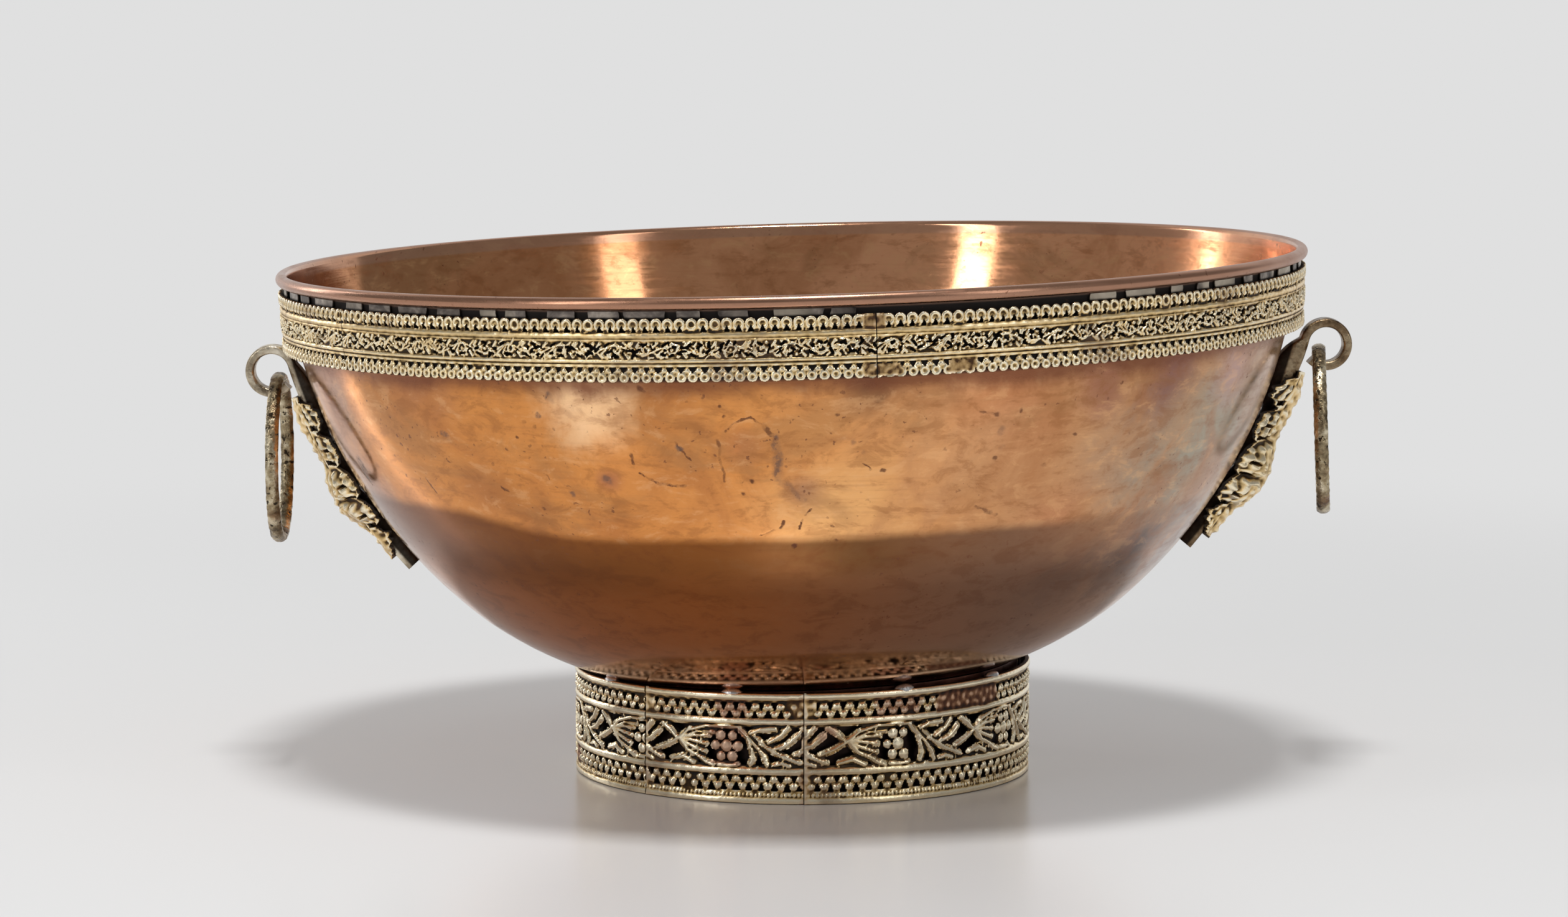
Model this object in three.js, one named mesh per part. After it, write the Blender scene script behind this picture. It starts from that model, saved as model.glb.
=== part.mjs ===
// Footed copper bowl with a pierced brass band under its rolled rim, a pierced brass foot,
// and two strap handles that each carry a loose ring.
// Millimetres, +Z up, +X through the right handle, -Y towards the viewer.

import * as THREE from 'three';
import { mergeVertices } from 'three/addons/utils/BufferGeometryUtils.js';

// Fit between pieces that touch on the real object
const CLEARANCE = 0.3;
const SEAM = 0.35;

// Bowl: a raised hemisphere, a little flattened underneath, wired at the rim
const RIM_RADIUS = 190;
const RIM_BELOW_CENTRE = 18.6;
const WALL = 1.2;
const ROLL_RADIUS = 2.2;
const ROLL_END_DEG = -105;
const ROLL_STEPS = 6;
const FLAT_RADIUS = 120;
const FLAT_LIFT = 8;
const BOWL_LEAN_DEG = 1.6;
const BOWL_SIDES = 56;
const WALL_STEPS = 11;

// Foot: a plain copper sleeve, and pierced brass panels standing off it on blobs of solder
const SLEEVE_RADIUS = 80;
const SLEEVE_HEIGHT = 40.5;
const SLEEVE_THICKNESS = 1.2;
const SLEEVE_SIDES = 48;
const FOOT_BAND_GAP = 3;
const FOOT_BAND_THICKNESS = 1.1;
const FOOT_REVEAL = 2;
const FOOT_BAND_SLANT_DEG = 0.75;
const FOOT_BORDER_HEIGHT = 9.5;
const FOOT_RAIL = 2.4;
const FOOT_HOLE_PITCH = 12;
const FOOT_SEAMS_DEG = [-42.4, 0.15, 158.85];
const FOOT_END_TAB = 3.5;
const FOOT_DIAMOND_HALF = 0.32;
const FOOT_LEAF_HALF = 0.34;
const FOOT_LEAF_LEAN = 0.12;
const SOLDER_HEIGHT = 5;
const SOLDER_WIDTH = 6;
const SOLDER_DEG = [-57, -18, 26, 56, 118, 176, -125];

// Rim band: sections of pierced brass gallery strip, held by a tabbed clip strip behind them
const RIM_BAND_DROP = 2.5;
const RIM_BAND_HEIGHT = 21.8;
const RIM_BAND_THICKNESS = 0.8;
const RIM_BAND_TAPER = 1;
const RIM_SCALLOP_PITCH = 12;
const RIM_SCALLOP_DEPTH = 1.9;
const RIM_SCALLOP_FLAT = [0.2, 0.8];
const RIM_FRIEZE_HEIGHT = 7;
const RIM_LEAF_HALF = 0.38;
const RIM_LEAF_LEAN = 0.15;
const RIM_SECTION_DEG = 65.3;
const RIM_FIRST_SEAM_DEG = -56.8;
const RIM_SECTIONS = 6;
const RIM_END_TAB = 3;
const CLIP_THICKNESS = 0.4;
const CLIP_COVERED = 4;
const CLIP_COLUMN = 19.5;
const CLIP_COLUMNS_PER_TAB = 3;
const CLIP_TAB_STARTS = [0.06, 0.24, 0.42];
const CLIP_TAB_WIDTHS = [0.32, 0.44];

// Handles: a strap curled into an eye, a cast leaf in front of it, and solder behind it
const STRAP_WIDTH = 9;
const STRAP_THICKNESS = 3.2;
const STRAP_FOOT_DEG = 48.4;
const STRAP_STANDOFF = 3.2;
const STRAP_LIFT_DEG = 62;
const STRAP_STEPS = 8;
const EYE_RADIUS = 8;
const EYE_DEG = 74.5;
const EYE_SWEEP_DEG = 300;
const EYE_SIDES = 20;
const LEAF_TOP_DEG = 71;
const LEAF_TIP_DEG = 50.4;
const LEAF_WIDTH = 30;
const LEAF_HEIGHT = 14.4;
const LEAF_EDGE = 2;
const LEAF_THINNEST = 1.5;
const LEAF_SPINE_GAP = 0.5;
const LEAF_MARGIN = 0.8;
const LEAF_WING_SLOPE = 0.5;
const LEAF_CROWN = 0.8;
const LEAF_FOLLOWS_EYE = 0.7;
const LEAF_LOBES = 5;
const LEAF_LOBE_WIDTHS = [0.76, 0.95, 1, 0.92];
const LEAF_LOBE_RIDGE = [0, 0.6, 1.1, 0.7];
const LEAF_VEIN_SLANT = 0.045;
const PAD_WIDTH = 7;
const PAD_LENGTH_DEG = 3;
const PADS_DEG = [65.5, 58.5];
const HANDLES = [
  { name: 'left', side: -1, eyeStandoff: 13, yaw: 0, tilt: 0 },
  { name: 'right', side: 1, eyeStandoff: 16.5, yaw: -5.5, tilt: 2.3 },
];

// Rings: oval bar, hanging a little towards the bowl from the middle of the eye
const RING_OUTER = 63.4;
const RING_BAR = 3.6;
const RING_BAR_WIDTH = 5.2;
const RING_INSET = 2.4;
const RING_STEPS = 24;
const RING_SIDES = 8;
const RING_FIT_STEPS = 16;

const rad = THREE.MathUtils.degToRad;

// Finishes
function metal(colour, roughness) {
  return new THREE.MeshStandardMaterial({ color: colour, roughness, metalness: 1 });
}
const copper = () => metal(0xb4673c, 0.28);
const darkCopper = () => metal(0x5d3527, 0.5);
const brass = () => metal(0xb0985f, 0.42);
const wornBrass = () => metal(0x9c8a5c, 0.5);
const tinnedCopper = () => metal(0x77787c, 0.55);
const solder = () => metal(0x9a9a9c, 0.45);

// A closed body from loose triangles: shared corners merged, slivers dropped, faces outward
function closedBody(geometry) {
  const bare = new THREE.BufferGeometry();
  bare.setAttribute('position', geometry.getAttribute('position').clone());
  if (geometry.index) bare.setIndex(geometry.index.clone());
  const merged = mergeVertices(bare, 1e-4);
  const index = merged.index.array;
  const kept = [];
  for (let i = 0; i < index.length; i += 3) {
    const [a, b, c] = [index[i], index[i + 1], index[i + 2]];
    if (a !== b && b !== c && c !== a) kept.push(a, b, c);
  }
  const p = merged.getAttribute('position');
  const [va, vb, vc] = [new THREE.Vector3(), new THREE.Vector3(), new THREE.Vector3()];
  let volume = 0;
  for (let i = 0; i < kept.length; i += 3) {
    va.fromBufferAttribute(p, kept[i]);
    vb.fromBufferAttribute(p, kept[i + 1]);
    vc.fromBufferAttribute(p, kept[i + 2]);
    volume += va.dot(vb.cross(vc));
  }
  if (volume < 0) {
    for (let i = 0; i < kept.length; i += 3) [kept[i], kept[i + 1]] = [kept[i + 1], kept[i]];
  }
  merged.setIndex(kept);
  merged.computeVertexNormals();
  return merged;
}

function piece(name, geometry, material) {
  const mesh = new THREE.Mesh(closedBody(geometry), material);
  mesh.name = name;
  return mesh;
}

// A solid of revolution about Z from [radius, height] points
function revolved(points, sides) {
  const profile = points.map(([r, z]) => new THREE.Vector2(r, z));
  return new THREE.LatheGeometry(profile, sides).rotateX(Math.PI / 2);
}

// A side outline in the X-Z plane, given depth along Y
function extrudedAcross(outline, width) {
  const shape = new THREE.Shape(outline.map(([x, z]) => new THREE.Vector2(x, z)));
  const geometry = new THREE.ExtrudeGeometry(shape, { depth: width, bevelEnabled: false });
  return geometry.rotateX(Math.PI / 2).translate(0, width / 2, 0);
}

// Bowl shape, measured from the centre of its sphere
const rollCentreRadius = RIM_RADIUS - ROLL_RADIUS;
const rimWallRadius = RIM_RADIUS - 2 * ROLL_RADIUS + WALL;
const swellRadius = Math.hypot(rimWallRadius, RIM_BELOW_CENTRE);
const rimPolar = Math.atan2(rimWallRadius, RIM_BELOW_CENTRE);

function flatLift(radius) {
  const inside = Math.max(0, 1 - (radius / FLAT_RADIUS) ** 2);
  return FLAT_LIFT * inside ** 1.5;
}

function wallPoint(polar, inset = 0) {
  const radius = (swellRadius - inset) * Math.sin(polar);
  return [radius, -(swellRadius - inset) * Math.cos(polar) + flatLift(radius)];
}

function wallDepth(radius) {
  return Math.sqrt(swellRadius ** 2 - radius ** 2) - flatLift(radius);
}

// The bowl's frame has its origin on the axis at the sleeve's top edge
const centreHeight = CLEARANCE + wallDepth(SLEEVE_RADIUS);
const rollHeight = centreHeight - RIM_BELOW_CENTRE;

function rollArc(radius, fromDeg, toDeg, steps) {
  const points = [];
  for (let i = 0; i <= steps; i++) {
    const a = rad(fromDeg + ((toDeg - fromDeg) * i) / steps);
    points.push([rollCentreRadius + radius * Math.cos(a), rollHeight + radius * Math.sin(a)]);
  }
  return points;
}

function bowlShell() {
  const outside = [];
  const inside = [];
  for (let i = 0; i < WALL_STEPS; i++) {
    const polar = (rimPolar * i) / WALL_STEPS;
    const [outRadius, outZ] = wallPoint(polar);
    const [inRadius, inZ] = wallPoint(polar, WALL);
    outside.push([outRadius, centreHeight + outZ]);
    inside.push([inRadius, centreHeight + inZ]);
  }
  const profile = [
    ...outside,
    ...rollArc(ROLL_RADIUS - WALL, 180, ROLL_END_DEG, ROLL_STEPS - 2),
    ...rollArc(ROLL_RADIUS, ROLL_END_DEG, 180, ROLL_STEPS),
    ...inside.reverse(),
  ];
  return revolved(profile, BOWL_SIDES);
}

function rimWire() {
  const wireRadius = ROLL_RADIUS - WALL - CLEARANCE;
  const wire = new THREE.TorusGeometry(rollCentreRadius, wireRadius, 5, BOWL_SIDES);
  return wire.rotateZ(Math.PI / 2).translate(0, 0, rollHeight);
}

// A strip bent round the axis and pierced tile by tile. A tile has a low and a high edge,
// each a list of [share of the tile's width, height], and holes that are lists of the same.
// Side edges run straight between the outermost points, so that neighbours share them.
function piercedStrip({ tiles, fromDeg, toDeg, innerRadius, outerRadius, place }) {
  const positions = [];
  const totalWidth = tiles.reduce((sum, tile) => sum + tile.width, 0);
  const at = (angle, z, radius) => {
    const r = radius(z);
    const point = new THREE.Vector3(r * Math.sin(angle), -r * Math.cos(angle), z);
    return place ? place(point) : point;
  };
  const triangle = (a, b, c) => {
    for (const p of [a, b, c]) positions.push(p.x, p.y, p.z);
  };
  let done = 0;
  tiles.forEach((tile, number) => {
    const start = rad(fromDeg + ((toDeg - fromDeg) * done) / totalWidth);
    done += tile.width;
    const end = rad(fromDeg + ((toDeg - fromDeg) * done) / totalWidth);
    const contour = [...tile.low, ...[...tile.high].reverse()];
    const loops = [contour, ...tile.holes];
    const flat = loops.map((loop) => loop.map(([u, z]) => new THREE.Vector2(u * tile.width, z)));
    const faces = THREE.ShapeUtils.triangulateShape(flat[0], flat.slice(1));
    const ends = loops.flat();
    const front = ends.map(([u, z]) => at(start + (end - start) * u, z, outerRadius));
    const back = ends.map(([u, z]) => at(start + (end - start) * u, z, innerRadius));
    for (const [a, b, c] of faces) {
      triangle(front[a], front[b], front[c]);
      triangle(back[c], back[b], back[a]);
    }
    const wall = (i, j) => {
      triangle(front[i], back[i], back[j]);
      triangle(front[i], back[j], front[j]);
    };
    let base = 0;
    loops.forEach((loop, loopNumber) => {
      const solidSide = loopNumber === 0 ? 1 : holeSide(loop);
      loop.forEach((_, k) => {
        const next = (k + 1) % loop.length;
        const rightEdge = loopNumber === 0 && k === tile.low.length - 1;
        const leftEdge = loopNumber === 0 && k === loop.length - 1;
        if (rightEdge && number < tiles.length - 1) return;
        if (leftEdge && number > 0) return;
        if (solidSide > 0) wall(base + k, base + next);
        else wall(base + next, base + k);
      });
      base += loop.length;
    });
  });
  const geometry = new THREE.BufferGeometry();
  geometry.setAttribute('position', new THREE.Float32BufferAttribute(positions, 3));
  return geometry;
}

// Holes are listed clockwise or not: the walls face into the hole either way
function holeSide(loop) {
  return THREE.ShapeUtils.isClockWise(loop.map(([u, z]) => new THREE.Vector2(u, z))) ? 1 : -1;
}

function plainTile(width, bottom, top) {
  return { width, low: [[0, bottom], [1, bottom]], high: [[0, top], [1, top]], holes: [] };
}

// A section: plain tabs at both ends, and as many equal pierced tiles as fit between them
function sectionTiles(length, tab, pitch, tile, plain) {
  const count = Math.max(1, Math.round((length - 2 * tab) / pitch));
  const width = (length - 2 * tab) / count;
  const tiles = [plain(tab)];
  for (let i = 0; i < count; i++) tiles.push(tile(width, i));
  tiles.push(plain(tab));
  return tiles;
}

// Rim band, hanging just under the roll
const bandTop = rollHeight - ROLL_RADIUS - RIM_BAND_DROP;
const bandBottom = bandTop - RIM_BAND_HEIGHT;
const clipFacetSag = CLIP_COLUMN ** 2 / (8 * rimWallRadius);
const clipInner = rimWallRadius + clipFacetSag;
const bandInner = clipInner + CLIP_THICKNESS + CLEARANCE;

function bandRadius(z) {
  return bandInner - (RIM_BAND_TAPER * (bandTop - z)) / RIM_BAND_HEIGHT;
}

function rimTile(width, i) {
  const friezeMiddle = (bandBottom + bandTop) / 2;
  const friezeLow = friezeMiddle - RIM_FRIEZE_HEIGHT / 2;
  const friezeHigh = friezeMiddle + RIM_FRIEZE_HEIGHT / 2;
  const lean = (i % 2 === 0 ? RIM_LEAF_LEAN : -RIM_LEAF_LEAN) * RIM_FRIEZE_HEIGHT;
  const [flatFrom, flatTo] = RIM_SCALLOP_FLAT;
  const rootLow = bandBottom + RIM_SCALLOP_DEPTH;
  const rootHigh = bandTop - RIM_SCALLOP_DEPTH;
  const leafHole = [
    [0.5 - RIM_LEAF_HALF, friezeMiddle - lean],
    [0.5, friezeLow],
    [0.5 + RIM_LEAF_HALF, friezeMiddle + lean],
    [0.5, friezeHigh],
  ];
  return {
    width,
    low: [[0, rootLow], [flatFrom, bandBottom], [flatTo, bandBottom], [1, rootLow]],
    high: [[0, rootHigh], [flatFrom, bandTop], [flatTo, bandTop], [1, rootHigh]],
    holes: [leafHole],
  };
}

// Angles of the seams: full sections go round from the first, and a filler closes the circle
function rimSectionSpan(number) {
  const from = RIM_FIRST_SEAM_DEG + RIM_SECTION_DEG * number;
  const last = number === RIM_SECTIONS - 1;
  return [from, last ? RIM_FIRST_SEAM_DEG + 360 : from + RIM_SECTION_DEG];
}

function rimBand(number) {
  const [from, to] = rimSectionSpan(number);
  const seamDeg = THREE.MathUtils.radToDeg(SEAM / bandInner) / 2;
  const length = rad(to - from) * bandInner;
  const plain = (width) =>
    plainTile(width, bandBottom + RIM_SCALLOP_DEPTH, bandTop - RIM_SCALLOP_DEPTH);
  return piercedStrip({
    tiles: sectionTiles(length, RIM_END_TAB, RIM_SCALLOP_PITCH, rimTile, plain),
    fromDeg: from + seamDeg,
    toDeg: to - seamDeg,
    innerRadius: bandRadius,
    outerRadius: (z) => bandRadius(z) + RIM_BAND_THICKNESS,
  });
}

// Clip strip behind the band: some columns carry a tab that stands up to the roll
function clipStrip(number) {
  const [from, to] = rimSectionSpan(number);
  const seamDeg = THREE.MathUtils.radToDeg(SEAM / bandInner) / 2;
  const low = bandTop - CLIP_COVERED;
  const covered = bandTop - RIM_SCALLOP_DEPTH - CLEARANCE;
  const tabTop = rollHeight - ROLL_RADIUS - CLEARANCE;
  const column = (width, i) => {
    const tile = plainTile(width, low, covered);
    if (i % CLIP_COLUMNS_PER_TAB !== 1) return tile;
    const start = CLIP_TAB_STARTS[(number * 2 + i) % CLIP_TAB_STARTS.length];
    const end = start + CLIP_TAB_WIDTHS[(number + i) % CLIP_TAB_WIDTHS.length];
    const tab = [[start, covered], [start, tabTop], [end, tabTop], [end, covered]];
    tile.high = [[0, covered], ...tab, [1, covered]];
    return tile;
  };
  const plain = (width) => plainTile(width, low, covered);
  return piercedStrip({
    tiles: sectionTiles(rad(to - from) * clipInner, RIM_END_TAB, CLIP_COLUMN, column, plain),
    fromDeg: from + seamDeg,
    toDeg: to - seamDeg,
    innerRadius: () => clipInner,
    outerRadius: () => clipInner + CLIP_THICKNESS,
  });
}

// Foot. Its upper edges are cut on a slant, the sleeve's as much as the bowl leans on it and
// the band's less, and it stands flat
function slanted(point, slantDeg) {
  point.z *= 1 + (point.x * Math.tan(rad(slantDeg))) / SLEEVE_HEIGHT;
  return point;
}

function slantedBody(geometry, slantDeg) {
  const p = geometry.getAttribute('position');
  const point = new THREE.Vector3();
  for (let i = 0; i < p.count; i++) {
    slanted(point.fromBufferAttribute(p, i), slantDeg);
    p.setXYZ(i, point.x, point.y, point.z);
  }
  return geometry;
}

function bowlUndersideAbove(radius) {
  return SLEEVE_HEIGHT + centreHeight - wallDepth(radius);
}

function footSleeve() {
  const inner = SLEEVE_RADIUS - SLEEVE_THICKNESS;
  const outerTop = bowlUndersideAbove(SLEEVE_RADIUS) - CLEARANCE;
  const innerTop = bowlUndersideAbove(inner) - CLEARANCE;
  const profile = [
    [inner, 0],
    [SLEEVE_RADIUS, 0],
    [SLEEVE_RADIUS, outerTop],
    [inner, innerTop],
    [inner, 0],
  ];
  return slantedBody(revolved(profile, SLEEVE_SIDES), BOWL_LEAN_DEG);
}

const footBandInner = SLEEVE_RADIUS + FOOT_BAND_GAP;
const footBandOuter = footBandInner + FOOT_BAND_THICKNESS;
const footBandTop = bowlUndersideAbove(footBandOuter) - FOOT_REVEAL;

function diamond([low, high]) {
  const mid = (low + high) / 2;
  return [[0.5, low], [0.5 + FOOT_DIAMOND_HALF, mid], [0.5, high], [0.5 - FOOT_DIAMOND_HALF, mid]];
}

function footTile(width, i) {
  const lowBorder = [FOOT_RAIL, FOOT_BORDER_HEIGHT - FOOT_RAIL / 2];
  const highBorder = [footBandTop - lowBorder[1], footBandTop - lowBorder[0]];
  const friezeLow = FOOT_BORDER_HEIGHT + FOOT_RAIL / 2;
  const friezeHigh = footBandTop - friezeLow;
  const lean = i % 2 === 0 ? FOOT_LEAF_LEAN : -FOOT_LEAF_LEAN;
  const leafHole = [
    [0.5 - lean, friezeLow],
    [0.5 + FOOT_LEAF_HALF, footBandTop / 2 - lean * FOOT_HOLE_PITCH],
    [0.5 + lean, friezeHigh],
    [0.5 - FOOT_LEAF_HALF, footBandTop / 2 + lean * FOOT_HOLE_PITCH],
  ];
  return {
    width,
    low: [[0, 0], [1, 0]],
    high: [[0, footBandTop], [1, footBandTop]],
    holes: [diamond(lowBorder), leafHole, diamond(highBorder)],
  };
}

function footPanel(number) {
  const from = FOOT_SEAMS_DEG[number];
  const last = number === FOOT_SEAMS_DEG.length - 1;
  const to = last ? FOOT_SEAMS_DEG[0] + 360 : FOOT_SEAMS_DEG[number + 1];
  const seamDeg = THREE.MathUtils.radToDeg(SEAM / footBandInner) / 2;
  const length = rad(to - from) * footBandOuter;
  const plain = (width) => plainTile(width, 0, footBandTop);
  return piercedStrip({
    tiles: sectionTiles(length, FOOT_END_TAB, FOOT_HOLE_PITCH, footTile, plain),
    fromDeg: from + seamDeg,
    toDeg: to - seamDeg,
    innerRadius: () => footBandInner,
    outerRadius: () => footBandOuter,
    place: (point) => slanted(point, FOOT_BAND_SLANT_DEG),
  });
}

function footSolder(angleDeg) {
  const facetSag = FOOT_HOLE_PITCH ** 2 / (8 * footBandInner);
  const low = SLEEVE_RADIUS + CLEARANCE;
  const high = footBandInner - facetSag - CLEARANCE;
  const blob = new THREE.OctahedronGeometry(1, 1);
  blob.scale(SOLDER_WIDTH / 2, (high - low) / 2, SOLDER_HEIGHT / 2);
  blob.translate(0, -(low + high) / 2, footBandTop - FOOT_REVEAL / 2 - SOLDER_HEIGHT / 2);
  return slantedBody(blob.rotateZ(rad(angleDeg)), FOOT_BAND_SLANT_DEG);
}

// Handles are drawn in the X-Z plane of the bowl's frame, on the +X side, and mirrored for -X
function offWall(polar, height) {
  const [radius, z] = wallPoint(polar, -height);
  return [radius, centreHeight + z];
}

function strapStandoff(handle, polar) {
  const atEye = handle.eyeStandoff - EYE_RADIUS - STRAP_THICKNESS / 2;
  const share = THREE.MathUtils.smoothstep(polar, rad(STRAP_LIFT_DEG), rad(EYE_DEG));
  return STRAP_STANDOFF + (atEye - STRAP_STANDOFF) * share;
}

function mirrored(outline, side) {
  return outline.map(([x, z]) => [x * side, z]);
}

function eyeCentre(handle) {
  return offWall(rad(EYE_DEG), handle.eyeStandoff);
}

function strap(handle) {
  const wallFace = [];
  const frontFace = [];
  for (let i = 0; i < STRAP_STEPS; i++) {
    const polar = rad(STRAP_FOOT_DEG + ((EYE_DEG - STRAP_FOOT_DEG) * i) / STRAP_STEPS);
    const standoff = strapStandoff(handle, polar);
    wallFace.push(offWall(polar, standoff));
    frontFace.push(offWall(polar, standoff + STRAP_THICKNESS));
  }
  const [eyeX, eyeZ] = eyeCentre(handle);
  for (let i = 0; i <= EYE_SIDES; i++) {
    const a = rad(EYE_DEG + 90) - rad((EYE_SWEEP_DEG * i) / EYE_SIDES);
    for (const [face, radius] of [
      [wallFace, EYE_RADIUS + STRAP_THICKNESS / 2],
      [frontFace, EYE_RADIUS - STRAP_THICKNESS / 2],
    ]) {
      face.push([eyeX + radius * Math.cos(a), eyeZ + radius * Math.sin(a)]);
    }
  }
  return extrudedAcross(mirrored([...wallFace, ...frontFace.reverse()], handle.side), STRAP_WIDTH);
}

function solderPad(handle, middleDeg) {
  const wallFace = [];
  const strapFace = [];
  for (const step of [-1, 0, 1]) {
    const polar = rad(middleDeg + (step * PAD_LENGTH_DEG) / 2);
    wallFace.push(offWall(polar, CLEARANCE));
    strapFace.push(offWall(polar, strapStandoff(handle, polar) - CLEARANCE));
  }
  return extrudedAcross(mirrored([...wallFace, ...strapFace.reverse()], handle.side), PAD_WIDTH);
}

// Leaf: half width over the lobes and relief as shares of the full size, from top to tip
const leafHalfWidth = shareCurve([
  [0, 0.42],
  [0.14, 0.7],
  [0.3, 0.74],
  [0.45, 0.92],
  [0.56, 1],
  [0.7, 0.92],
  [0.84, 0.66],
  [1, 0.36],
]);
const leafRelief = shareCurve([
  [0, 0.76],
  [0.12, 0.84],
  [0.26, 0.78],
  [0.4, 0.76],
  [0.48, 0.9],
  [0.6, 1],
  [0.7, 0.92],
  [0.78, 0.76],
  [1, 0.6],
]);

function shareCurve(points) {
  const curve = new THREE.CatmullRomCurve3(points.map(([t, share]) => new THREE.Vector3(t, share, 0)));
  const tableSteps = 60;
  const table = curve.getPoints(tableSteps);
  return (t) => {
    const after = table.find((point) => point.x >= t - 1e-9) ?? table[table.length - 1];
    const before = table[Math.max(0, table.indexOf(after) - 1)];
    const span = after.x - before.x;
    return span > 0 ? before.y + ((after.y - before.y) * (t - before.x)) / span : after.y;
  };
}

// Each lobe is a few rows long, from one notch to the next. Openings lie beside the strap, on
// both sides of the spine, at the notches between lobes
const leafRowsPerLobe = LEAF_LOBE_WIDTHS.length;
const leafRows = LEAF_LOBES * leafRowsPerLobe;

function leafOpen(row, column) {
  const besideSpine = column === 1 || column === 4;
  const atNotch = row % leafRowsPerLobe === leafRowsPerLobe - 1;
  return besideSpine && atNotch && row < leafRows - 1;
}

function leaf(handle) {
  const spineHalf = STRAP_WIDTH / 2 + LEAF_SPINE_GAP;
  const columns = [-3, -2, -1, 0, 1, 2, 3];
  const extraRelief = handle.eyeStandoff - (HANDLES[0].eyeStandoff + HANDLES[1].eyeStandoff) / 2;
  const corner = (row, column, onFront) => {
    const t = row / leafRows;
    const alongLobe = row % leafRowsPerLobe;
    const lobedHalf = (LEAF_WIDTH / 2) * leafHalfWidth(t) * LEAF_LOBE_WIDTHS[alongLobe];
    const half = Math.max(lobedHalf, spineHalf + LEAF_MARGIN);
    const across = [0, spineHalf, (spineHalf + half) / 2, half][Math.abs(columns[column])];
    const wing = Math.max(0, (across - spineHalf) / (half - spineHalf));
    const along = t + LEAF_VEIN_SLANT * wing * Math.sin(Math.PI * t);
    const polar = rad(LEAF_TOP_DEG + (LEAF_TIP_DEG - LEAF_TOP_DEG) * along);
    const seat = strapStandoff(handle, polar) + STRAP_THICKNESS + CLEARANCE;
    const drop = Math.min(seat - STRAP_STANDOFF, (half - spineHalf) * LEAF_WING_SLOPE);
    const back = seat - drop * wing;
    const edge = seat - drop + LEAF_EDGE + LEAF_LOBE_RIDGE[alongLobe] * wing;
    const crest = Math.max(LEAF_HEIGHT * leafRelief(along) + extraRelief * LEAF_FOLLOWS_EYE, seat + LEAF_EDGE);
    const bow = Math.cos((Math.PI / 2) * (across / half)) ** LEAF_CROWN;
    const front = edge + Math.max(0, crest - edge) * bow;
    const height = swellRadius + (onFront ? Math.max(front, back + LEAF_THINNEST) : back);
    const azimuth = (Math.sign(columns[column]) * across) / (swellRadius * Math.sin(polar));
    const around = height * Math.sin(polar);
    return new THREE.Vector3(
      handle.side * around * Math.cos(azimuth),
      around * Math.sin(azimuth),
      centreHeight - height * Math.cos(polar),
    );
  };
  return griddedPlate(leafRows, columns.length - 1, corner, leafOpen);
}

// A plate from a grid of cells, some left open, with walls wherever solid meets open
function griddedPlate(rows, columns, corner, open) {
  const positions = [];
  const quad = (a, b, c, d) => {
    for (const p of [a, b, c, a, c, d]) positions.push(p.x, p.y, p.z);
  };
  const solid = (i, j) => i >= 0 && j >= 0 && i < rows && j < columns && !open(i, j);
  for (let i = 0; i < rows; i++) {
    for (let j = 0; j < columns; j++) {
      if (!solid(i, j)) continue;
      const at = (di, dj, onFront) => corner(i + di, j + dj, onFront);
      quad(at(0, 0, true), at(1, 0, true), at(1, 1, true), at(0, 1, true));
      quad(at(0, 0, false), at(0, 1, false), at(1, 1, false), at(1, 0, false));
      const sides = [
        [-1, 0, [0, 1], [0, 0]],
        [1, 0, [1, 0], [1, 1]],
        [0, -1, [0, 0], [1, 0]],
        [0, 1, [1, 1], [0, 1]],
      ];
      for (const [di, dj, p, q] of sides) {
        if (solid(i + di, j + dj)) continue;
        quad(at(...p, true), at(...p, false), at(...q, false), at(...q, true));
      }
    }
  }
  const geometry = new THREE.BufferGeometry();
  geometry.setAttribute('position', new THREE.Float32BufferAttribute(positions, 3));
  return geometry;
}

// How far the middle of the ring's bar hangs below the middle of the eye: as low as the oval
// bar stays clear of the round hole, also at the strap's edges, where the ring curves down
const ringMeanRadius = (RING_OUTER - RING_BAR) / 2;

function ringDrop(handle) {
  const facetedHole = (EYE_RADIUS - STRAP_THICKNESS / 2) * Math.cos(rad(EYE_SWEEP_DEG / EYE_SIDES / 2));
  const hole = facetedHole - CLEARANCE;
  let drop = hole;
  for (const y of [-STRAP_WIDTH / 2, 0, STRAP_WIDTH / 2]) {
    const sag = Math.abs(y) * Math.tan(Math.PI / RING_STEPS);
    const inset = RING_INSET + Math.abs(y) * Math.tan(rad(Math.abs(handle.yaw)));
    for (let i = 0; i <= RING_FIT_STEPS; i++) {
      const a = Math.PI + (Math.PI * i) / RING_FIT_STEPS;
      const x = inset + (RING_BAR_WIDTH / 2) * Math.cos(a);
      const room = Math.sqrt(Math.max(0, hole ** 2 - x ** 2));
      drop = Math.min(drop, room + (RING_BAR / 2) * Math.sin(a) - sag);
    }
  }
  return drop;
}

// The ring about its hinge, which is the middle of the eye
function ring(handle) {
  const body = new THREE.TorusGeometry(ringMeanRadius, RING_BAR / 2, RING_SIDES, RING_STEPS);
  body.scale(1, 1, RING_BAR_WIDTH / RING_BAR);
  body.rotateZ(Math.PI / 2).rotateY(Math.PI / 2);
  body.translate(0, 0, -ringMeanRadius);
  body.rotateZ(rad(handle.yaw)).rotateY(rad(-handle.tilt) * handle.side);
  return body.translate(-handle.side * RING_INSET, 0, -ringDrop(handle));
}

// Assembly: the foot stands flat, the bowl leans on it, and the rings hang plumb
const object = new THREE.Group();
const foot = new THREE.Group();
const bowl = new THREE.Group();
bowl.position.z = SLEEVE_HEIGHT;
bowl.rotation.y = -rad(BOWL_LEAN_DEG);
object.add(foot, bowl);

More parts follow.
